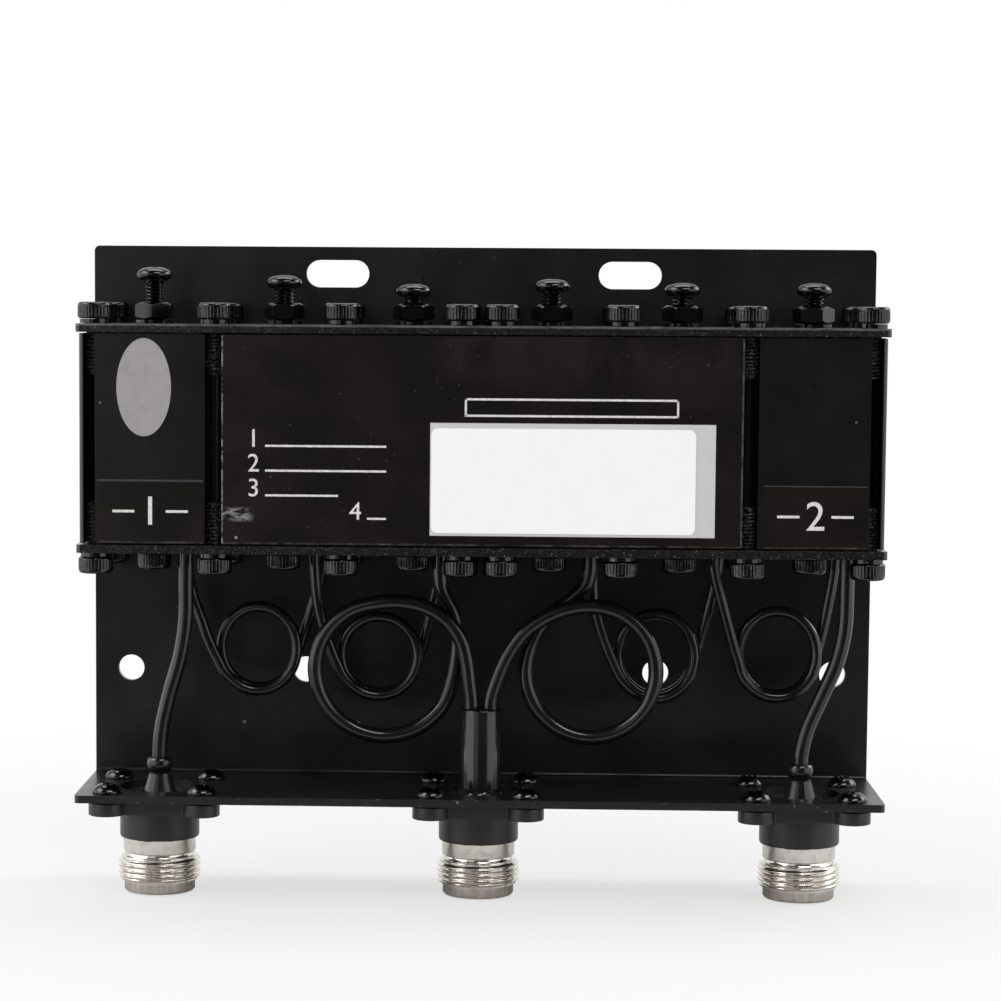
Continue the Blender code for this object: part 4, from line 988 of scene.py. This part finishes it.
# The leads' chosen points, as in the part's source, in X and Z. A port lead's X is a share of its way across.
# An antenna lead's is counted from its start, and past its loop from the sleeve. A coupling lead's points
# before the loop are counted from the loop's centre, and that centre's X from midway between its ends.
# A start or an end is a cavity and X from its middle. A loop's angles are in degrees from +X.
LEAD_TOP = -3.7
LEAD_END = -51.5
STRAIGHT = 3.5
SLEEVE_X = 0.3
SLEEVE_TOP = -36.2
FERRULE_TOP = -46.3
PORT_LEADS = {
    "low": (0, 6.4, [(0.0, -12.0), (0.02, -19.5), (0.23, -26.5), (0.66, -34.5), (0.93, -41.0)]),
    "high": (5, 7.05, [(0.0, -12.0), (0.03, -20.0), (0.2, -26.5), (0.5, -32.5), (0.855, -39.5),
                       (0.99, -44.5)]),
}
ANTENNA_LEADS = {
    "low": {"start": (2, 5.35), "side": -1,
            "lead_in": [(0.0, -9.5), (0.4, -13.2), (2.6, -17.8), (3.6, -22.5)],
            "centre": (-10.6, -28.76), "radii": (13.54, 13.3), "angles": (-5, -270),
            "lead_out": [(-14.9, -15.5), (-11.8, -16.1), (-8.7, -17.5), (-6.0, -19.75), (-4.0, -22.7),
                         (-2.9, -26.6), (-2.3, -31.0)]},
    "high": {"start": (3, 7.85), "side": 1,
             "lead_in": [(0.0, -9.5), (-0.7, -12.0), (-3.6, -15.0), (-7.6, -18.0)],
             "centre": (0.4, -28.9), "radii": (12.7, 13.0), "angles": (155, 450),
             "lead_out": [(15.0, -17.0), (8.9, -20.6), (5.2, -25.5), (2.7, -31.5)]},
}
COUPLING_LEADS = [
    {"ends": ((0, 5.8), (1, 7.25)), "centre": (0.83, -25.65), "radii": (7.5, 8.15),
     "lead_in": [(-13.0, 10.7), (-11.5, 6.4), (-9.9, 1.9), (-8.0, -2.2)]},
    {"ends": ((1, 5.8), (2, 5.4)), "centre": (0.4, -26.9), "radii": (7.6, 7.7),
     "lead_in": [(-12.2, 10.9), (-11.3, 6.8), (-9.9, 2.6), (-8.2, -1.6)]},
    {"ends": ((3, 8.6), (4, 8.15)), "centre": (0.3, -26.4), "radii": (7.6, 8.25),
     "lead_in": [(-12.4, 10.5), (-11.4, 6.5), (-10.1, 2.6), (-8.4, -1.5)]},
    {"ends": ((4, 7.1), (5, 5.75)), "centre": (0.9, -25.8), "radii": (7.6, 8.4),
     "lead_in": [(-11.2, 10.2), (-10.1, 6.3), (-9.0, 2.4), (-7.8, -1.5)]},
]
COUPLING_LOOP_ANGLES = (216, 712)
COUPLING_LOOP_SPREAD = 0.4
COUPLING_STEP_DEG = 36
ANTENNA_STEP_DEG = 30
TWIN_HALF_SPACING = 1.85
STEPS_PER_POINT = 12
ANTENNA_START_Y = -15.8
COUPLING_START_Y = -12.0
COUPLING_END_Y = -8.5
LEAD_RADIUS = 1.5
COUPLING_RADIUS = 1.1


def beside(cavity, across):
    return CAVITY_XS[cavity] + across


def lead_exits():
    """Where each lead leaves the bottom cover, with its radius."""
    exits = [(beside(plan[0], plan[1]), SOCKET_Y, LEAD_RADIUS) for plan in PORT_LEADS.values()]
    exits += [(beside(*plan["start"]), ANTENNA_START_Y, LEAD_RADIUS) for plan in ANTENNA_LEADS.values()]
    for plan in COUPLING_LEADS:
        start, end = plan["ends"]
        exits += [(beside(*start), COUPLING_START_Y, COUPLING_RADIUS),
                  (beside(*end), COUPLING_END_Y, COUPLING_RADIUS)]
    return exits


def port_route(port):
    cavity, across, route = PORT_LEADS[port]
    start, end = beside(cavity, across), SOCKET_XS[PORTS.index(port)]
    points = [(start, SOCKET_Y, LEAD_TOP)]
    points += [(start + share * (end - start), SOCKET_Y, z) for share, z in route]
    return points + [(end, SOCKET_Y, FERRULE_TOP), (end, SOCKET_Y, LEAD_END)]


def antenna_route(plan):
    """Down from the box behind, once round the loop, and in front of itself into the sleeve."""
    start_x = beside(*plan["start"])
    points = [(start_x, ANTENNA_START_Y, LEAD_TOP)]
    points += [(start_x + x, ANTENNA_START_Y, z) for x, z in plan["lead_in"]]
    start, end = plan["angles"]
    count = round(abs(end - start) / ANTENNA_STEP_DEG)
    for i in range(count + 1):
        share = i / count
        angle = math.radians(start + (end - start) * share)
        points.append((start_x + plan["centre"][0] + plan["radii"][0] * math.cos(angle),
                       ANTENNA_START_Y + (SOCKET_Y - ANTENNA_START_Y) * share,
                       plan["centre"][1] + plan["radii"][1] * math.sin(angle)))
    points += [(SLEEVE_X + x, SOCKET_Y, z) for x, z in plan["lead_out"]]
    x = SLEEVE_X + plan["side"] * TWIN_HALF_SPACING
    return points + [(x, SOCKET_Y, z) for z in (SLEEVE_TOP + 1.5, SLEEVE_TOP - STRAIGHT, LEAD_END)]


def coupling_route(plan):
    """Down in front, round the loop and half round again behind, then up into the next cavity."""
    start_x, end_x = (beside(*end) for end in plan["ends"])
    middle = (start_x + end_x) / 2 + plan["centre"][0]
    points = [(start_x, COUPLING_START_Y, LEAD_TOP), (start_x, COUPLING_START_Y, BOX_BOTTOM - STRAIGHT)]
    points += [(middle + x, COUPLING_START_Y, plan["centre"][1] + z) for x, z in plan["lead_in"]]
    first, last = COUPLING_LOOP_ANGLES
    count = round((last - first) / COUPLING_STEP_DEG)
    for i in range(count + 1):
        share = i / count
        angle = math.radians(first + (last - first) * share)
        wide = COUPLING_LOOP_SPREAD * max(0.0, 1 - 4 * share)
        points.append((middle + (plan["radii"][0] + wide) * math.cos(angle),
                       COUPLING_START_Y + (COUPLING_END_Y - COUPLING_START_Y) * share,
                       plan["centre"][1] + (plan["radii"][1] + wide) * math.sin(angle)))
    return points + [(end_x, COUPLING_END_Y, BOX_BOTTOM - STRAIGHT), (end_x, COUPLING_END_Y, LEAD_TOP)]


def add_leads(paint):
    routes = [(f"port_cable_{port}", port_route(port), LEAD_RADIUS) for port in PORT_LEADS]
    routes += [(f"antenna_cable_{side}", antenna_route(plan), LEAD_RADIUS)
               for side, plan in ANTENNA_LEADS.items()]
    routes += [(f"coupling_cable_{i + 1}", coupling_route(plan), COUPLING_RADIUS)
               for i, plan in enumerate(COUPLING_LEADS)]
    for node, points, radius in routes:
        jacket = sweep(node, smooth_route(points, 0.45 * radius), radius)
        add_piece(f"{node}_jacket", jacket, paint, nodes=[node])


# Labels and stickers, thin sheets on the front whose outlines are drawn in X and Z
LABEL_LOW, LABEL_HIGH = node_box("front_label_plate")
LABEL_RIGHT = 49.5
LABEL_FOOT = -3.35
FILM = 0.22
LABEL_SPECK = (-46.4, BLOCK_FACE - FILM, -2.1)
PORT_FILM = 0.12
PRINT = 0.02
RULE = 0.4
# Each port label's ends, top and number, and each printed row's height, ends and number
PORT_LABELS = (("low", -73.0, -52.6, 8.8, "1"), ("high", 53.4, 73.1, 8.6, "2"))
LABEL_ROWS = ((15.2, -44.3, -17.9, "1"), (10.5, -44.3, -17.9, "2"), (5.8, -44.3, -27.0, "3"),
              (1.5, -24.9, -17.9, "4"))
TITLE_FRAME = (-3.1, 37.3, 21.2, 24.7)
GREY_STICKER = (-9.6, 44.3, -1.4, 20.0)
GREY_THICKNESS = 0.06
WHITE_STICKER = (-9.4, 40.6, -0.9, 19.0)
OVAL_MIDDLE = (-64.0, 26.3)
OVAL_RADII = (5.2, 9.3)
PAPER = 0.1


def flat_sheet(name, points, back, thickness, soften=0.0):
    """A thin sheet whose rear face lies at the depth back and whose face looks to the front."""
    flat = prism(name, points, -back, thickness - back)
    flat.transform(Matrix.Rotation(math.radians(90), 4, "X"))
    return shaped(flat, soften=soften, segments=2) if soften else flat


def bar(x0, x1, z0, z1):
    return [(x0, z0), (x1, z0), (x1, z1), (x0, z1)]


def digit_mesh(digit, height, x, z, back):
    """A plain number standing on the height z, centred on x."""
    curve = bpy.data.curves.new("digit", "FONT")
    curve.body = digit
    curve.size = height * MM / 0.7
    curve.align_x = "CENTER"
    curve.extrude = PRINT * MM / 2
    mesh = worked_out(add_object("digit", curve))
    mesh.transform(Matrix.Rotation(math.radians(90), 4, "X"))
    mesh.materials.clear()
    return moved(mesh, x, back - PRINT / 2, z)


def frame_bars(x0, x1, z0, z1):
    return [bar(x0, x1, z0, z0 + RULE), bar(x0, x1, z1 - RULE, z1), bar(x0, x0 + RULE, z0, z1),
            bar(x1 - RULE, x1, z0, z1)]


def add_port_labels(film, ink):
    face = BLOCK_FACE - PORT_FILM
    for name, x0, x1, z1, digit in PORT_LABELS:
        outline = rounded(x0, x1, LABEL_FOOT, z1, 0.3)
        port_film = flat_sheet("port_label", outline, BLOCK_FACE, PORT_FILM, soften=0.04)
        add_piece(f"port_label_{name}", port_film, film)
        middle = (x0 + x1) / 2
        marks = [digit_mesh(digit, 5.5, middle, 0.2, face)]
        marks += [flat_sheet("rule", bar(middle + a, middle + a + 4.2, 2.5, 3.0), face, PRINT)
                  for a in (-7.2, 3.0)]
        add_piece(f"port_number_{name}", joined("port_number", *marks), ink)


def add_labels(film, ink, white, grey_paper, silver_paper):
    """The large label with its rows and title frame, the port labels, and the stickers."""
    face = BLOCK_FACE - FILM
    outline = rounded(LABEL_LOW[0], LABEL_RIGHT, LABEL_FOOT, LABEL_HIGH[2], 0.4)
    main_label = flat_sheet("label", outline, BLOCK_FACE, FILM, soften=0.06)
    add_piece("front_label_film", main_label, film, nodes=["front_label_plate"])
    add_port_labels(film, ink)
    marks = [flat_sheet("rule", points, face, PRINT) for points in frame_bars(*TITLE_FRAME)]
    for z, x0, x1, digit in LABEL_ROWS:
        marks.append(digit_mesh(digit, 3.4, x0 + 1.2, z, face))
        marks.append(flat_sheet("rule", bar(x0 + 3.4, x1, z, z + RULE), face, PRINT))
    add_piece("label_print", joined("label_print", *marks), ink)
    backing = flat_sheet("backing", bar(*GREY_STICKER), face, GREY_THICKNESS)
    add_piece("grey_sticker", backing, grey_paper)
    paper = flat_sheet("paper", rounded(*WHITE_STICKER, 1.3), face - GREY_THICKNESS, PAPER, soften=0.03)
    add_piece("white_sticker", paper, white)
    angles = [math.tau * i / 64 for i in range(64)]
    oval = [(OVAL_MIDDLE[0] + OVAL_RADII[0] * math.cos(a), OVAL_MIDDLE[1] + OVAL_RADII[1] * math.sin(a))
            for a in angles]
    oval_paper = flat_sheet("oval", oval, BLOCK_FACE, PAPER, soften=0.03)
    add_piece("oval_sticker", oval_paper, silver_paper)


# Studio, with its sizes in metres
# Each lamp has its direction in degrees, its distance, width and height, and its radiance
LAMPS = (
    ("left_softbox", -75, 0, 0.8, 1.2, 0.9, 1.9),
    ("front_left_panel", -24, 12, 0.8, 0.28, 0.5, 0.65),
    ("right_softbox", 72, 0, 0.8, 1.05, 0.9, 1.5),
    ("left_key", -75, 40, 0.9, 0.6, 0.4, 6.0),
    ("right_key", 110, 28, 0.9, 0.5, 0.4, 5.5),
    ("upper_front_key", 26, 45, 0.9, 0.55, 0.16, 9.0),
    ("top_softbox", 180, 78, 0.9, 0.8, 0.3, 7.0),
)
FLOOR_HALF_WIDTH = 0.6
FLOOR_FRONT = -0.125
FLOOR_BACK = 0.6
FLOOR_DROP = 0.0003


def softbox(name, azimuth, elevation, distance, width, height, radiance):
    """A rectangular lamp that looks at the object from a direction in degrees, 0 being the front."""
    across, up = math.radians(azimuth), math.radians(elevation)
    towards = Vector((math.sin(across) * math.cos(up), -math.cos(across) * math.cos(up), math.sin(up)))
    data = bpy.data.lights.new(name, "AREA")
    data.shape = "RECTANGLE"
    data.size = width
    data.size_y = height
    data.energy = radiance * math.pi * width * height
    light = add_object(name, data)
    light.location = towards * distance
    light.rotation_euler = (-towards).to_track_quat("-Z", "Y").to_euler()
    light.visible_camera = False


def add_world():
    """White where the camera and reflections see behind the object, dim grey elsewhere."""
    world = bpy.data.worlds.new("studio")
    bpy.context.scene.world = world
    world.use_nodes = True
    sky = Nodes(world.node_tree)
    reflected = sky.node("ShaderNodeLightPath", output="Is Glossy Ray").higher(
        sky.node("ShaderNodeLightPath", output="Is Transmission Ray"))
    direction = sky.node("ShaderNodeTexCoord", output="Generated")
    depth = sky.node("ShaderNodeSeparateXYZ", None, {0: direction}, output=1)
    behind = sky.mix(sky.fade(depth, -0.1, 0.5), grey(0.07), grey(1.0))
    level = sky.mix(reflected, grey(0.34), behind)
    seen = sky.node("ShaderNodeLightPath", output="Is Camera Ray")
    sky.join(sky.mix(seen, level, grey(1.0)), world.node_tree.nodes["Background"].inputs["Color"])


def add_floor():
    """A pale floor that shows its shadows under the object and fades to white round it."""
    bm = bmesh.new()
    corners = bar(-FLOOR_HALF_WIDTH, FLOOR_HALF_WIDTH, FLOOR_FRONT, FLOOR_BACK)
    bm.faces.new([bm.verts.new((x, y, cad_box[0][2] - FLOOR_DROP)) for x, y in corners])
    mesh = from_bmesh("floor", bm, None)
    floor = add_object("floor", mesh)
    pale = Finish("floor_pale", grey(0.5), 0.8)
    glow = pale.node("ShaderNodeEmission", None, {"Color": grey(1.0), "Strength": 1.0})
    away = pale.node("ShaderNodeVectorMath", {"operation": "LENGTH"}, {0: pale.place()}, output=1)
    share = pale.fade(away, 90.0, 260.0) * 0.35 + 0.65
    seen = pale.node("ShaderNodeLightPath", output="Is Camera Ray") * share
    mixed = pale.node("ShaderNodeMixShader", None, {0: seen, 1: Value(pale, pale.shader.outputs[0]), 2: glow})
    pale.join(mixed, pale.tree.nodes["Material Output"].inputs["Surface"])
    mesh.materials.append(pale.material)


def add_studio():
    bpy.context.scene.view_settings.view_transform = "Standard"
    add_world()
    add_floor()
    for lamp in LAMPS:
        softbox(*lamp)


def plate_helices(silver):
    """The helices keep their CAD solids."""
    for name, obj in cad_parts.items():
        if "helix" in name:
            obj.data.materials.clear()
            obj.data.materials.append(silver.material)


def main():
    make_camera()
    # The nuts and tuning screws take a copy of the oxide with dimmer rubbed spots, which partly stands in for
    # shade on them.
    oxide, shaded_nut_oxide = black_oxide("screw_black_oxide", 0.11), black_oxide("shaded_nut_black_oxide", 0.05)
    gloss, film = lead_paint(), label_film()
    plate_helices(helix_silver())
    add_bracket(bracket_paint(), oxide)
    add_blocks(block_paint())
    add_covers(cover_paint(), oxide)
    add_cap_screws(oxide)
    add_tuning(shaded_nut_oxide)
    add_sockets(socket_nickel(), socket_resin(), contact_gold())
    add_ferrules(gloss)
    add_sleeve(gloss)
    add_leads(gloss)
    add_labels(film, pale_ink(), sticker_paper("white_sticker_paper", (0.86, 0.86, 0.85), shade=0.985),
               sticker_paper("grey_sticker_paper", (0.53, 0.53, 0.525), 0.4),
               sticker_paper("silver_sticker_foil", (0.31, 0.29, 0.305), 0.35, 0.88, 2.0))
    add_studio()


main()
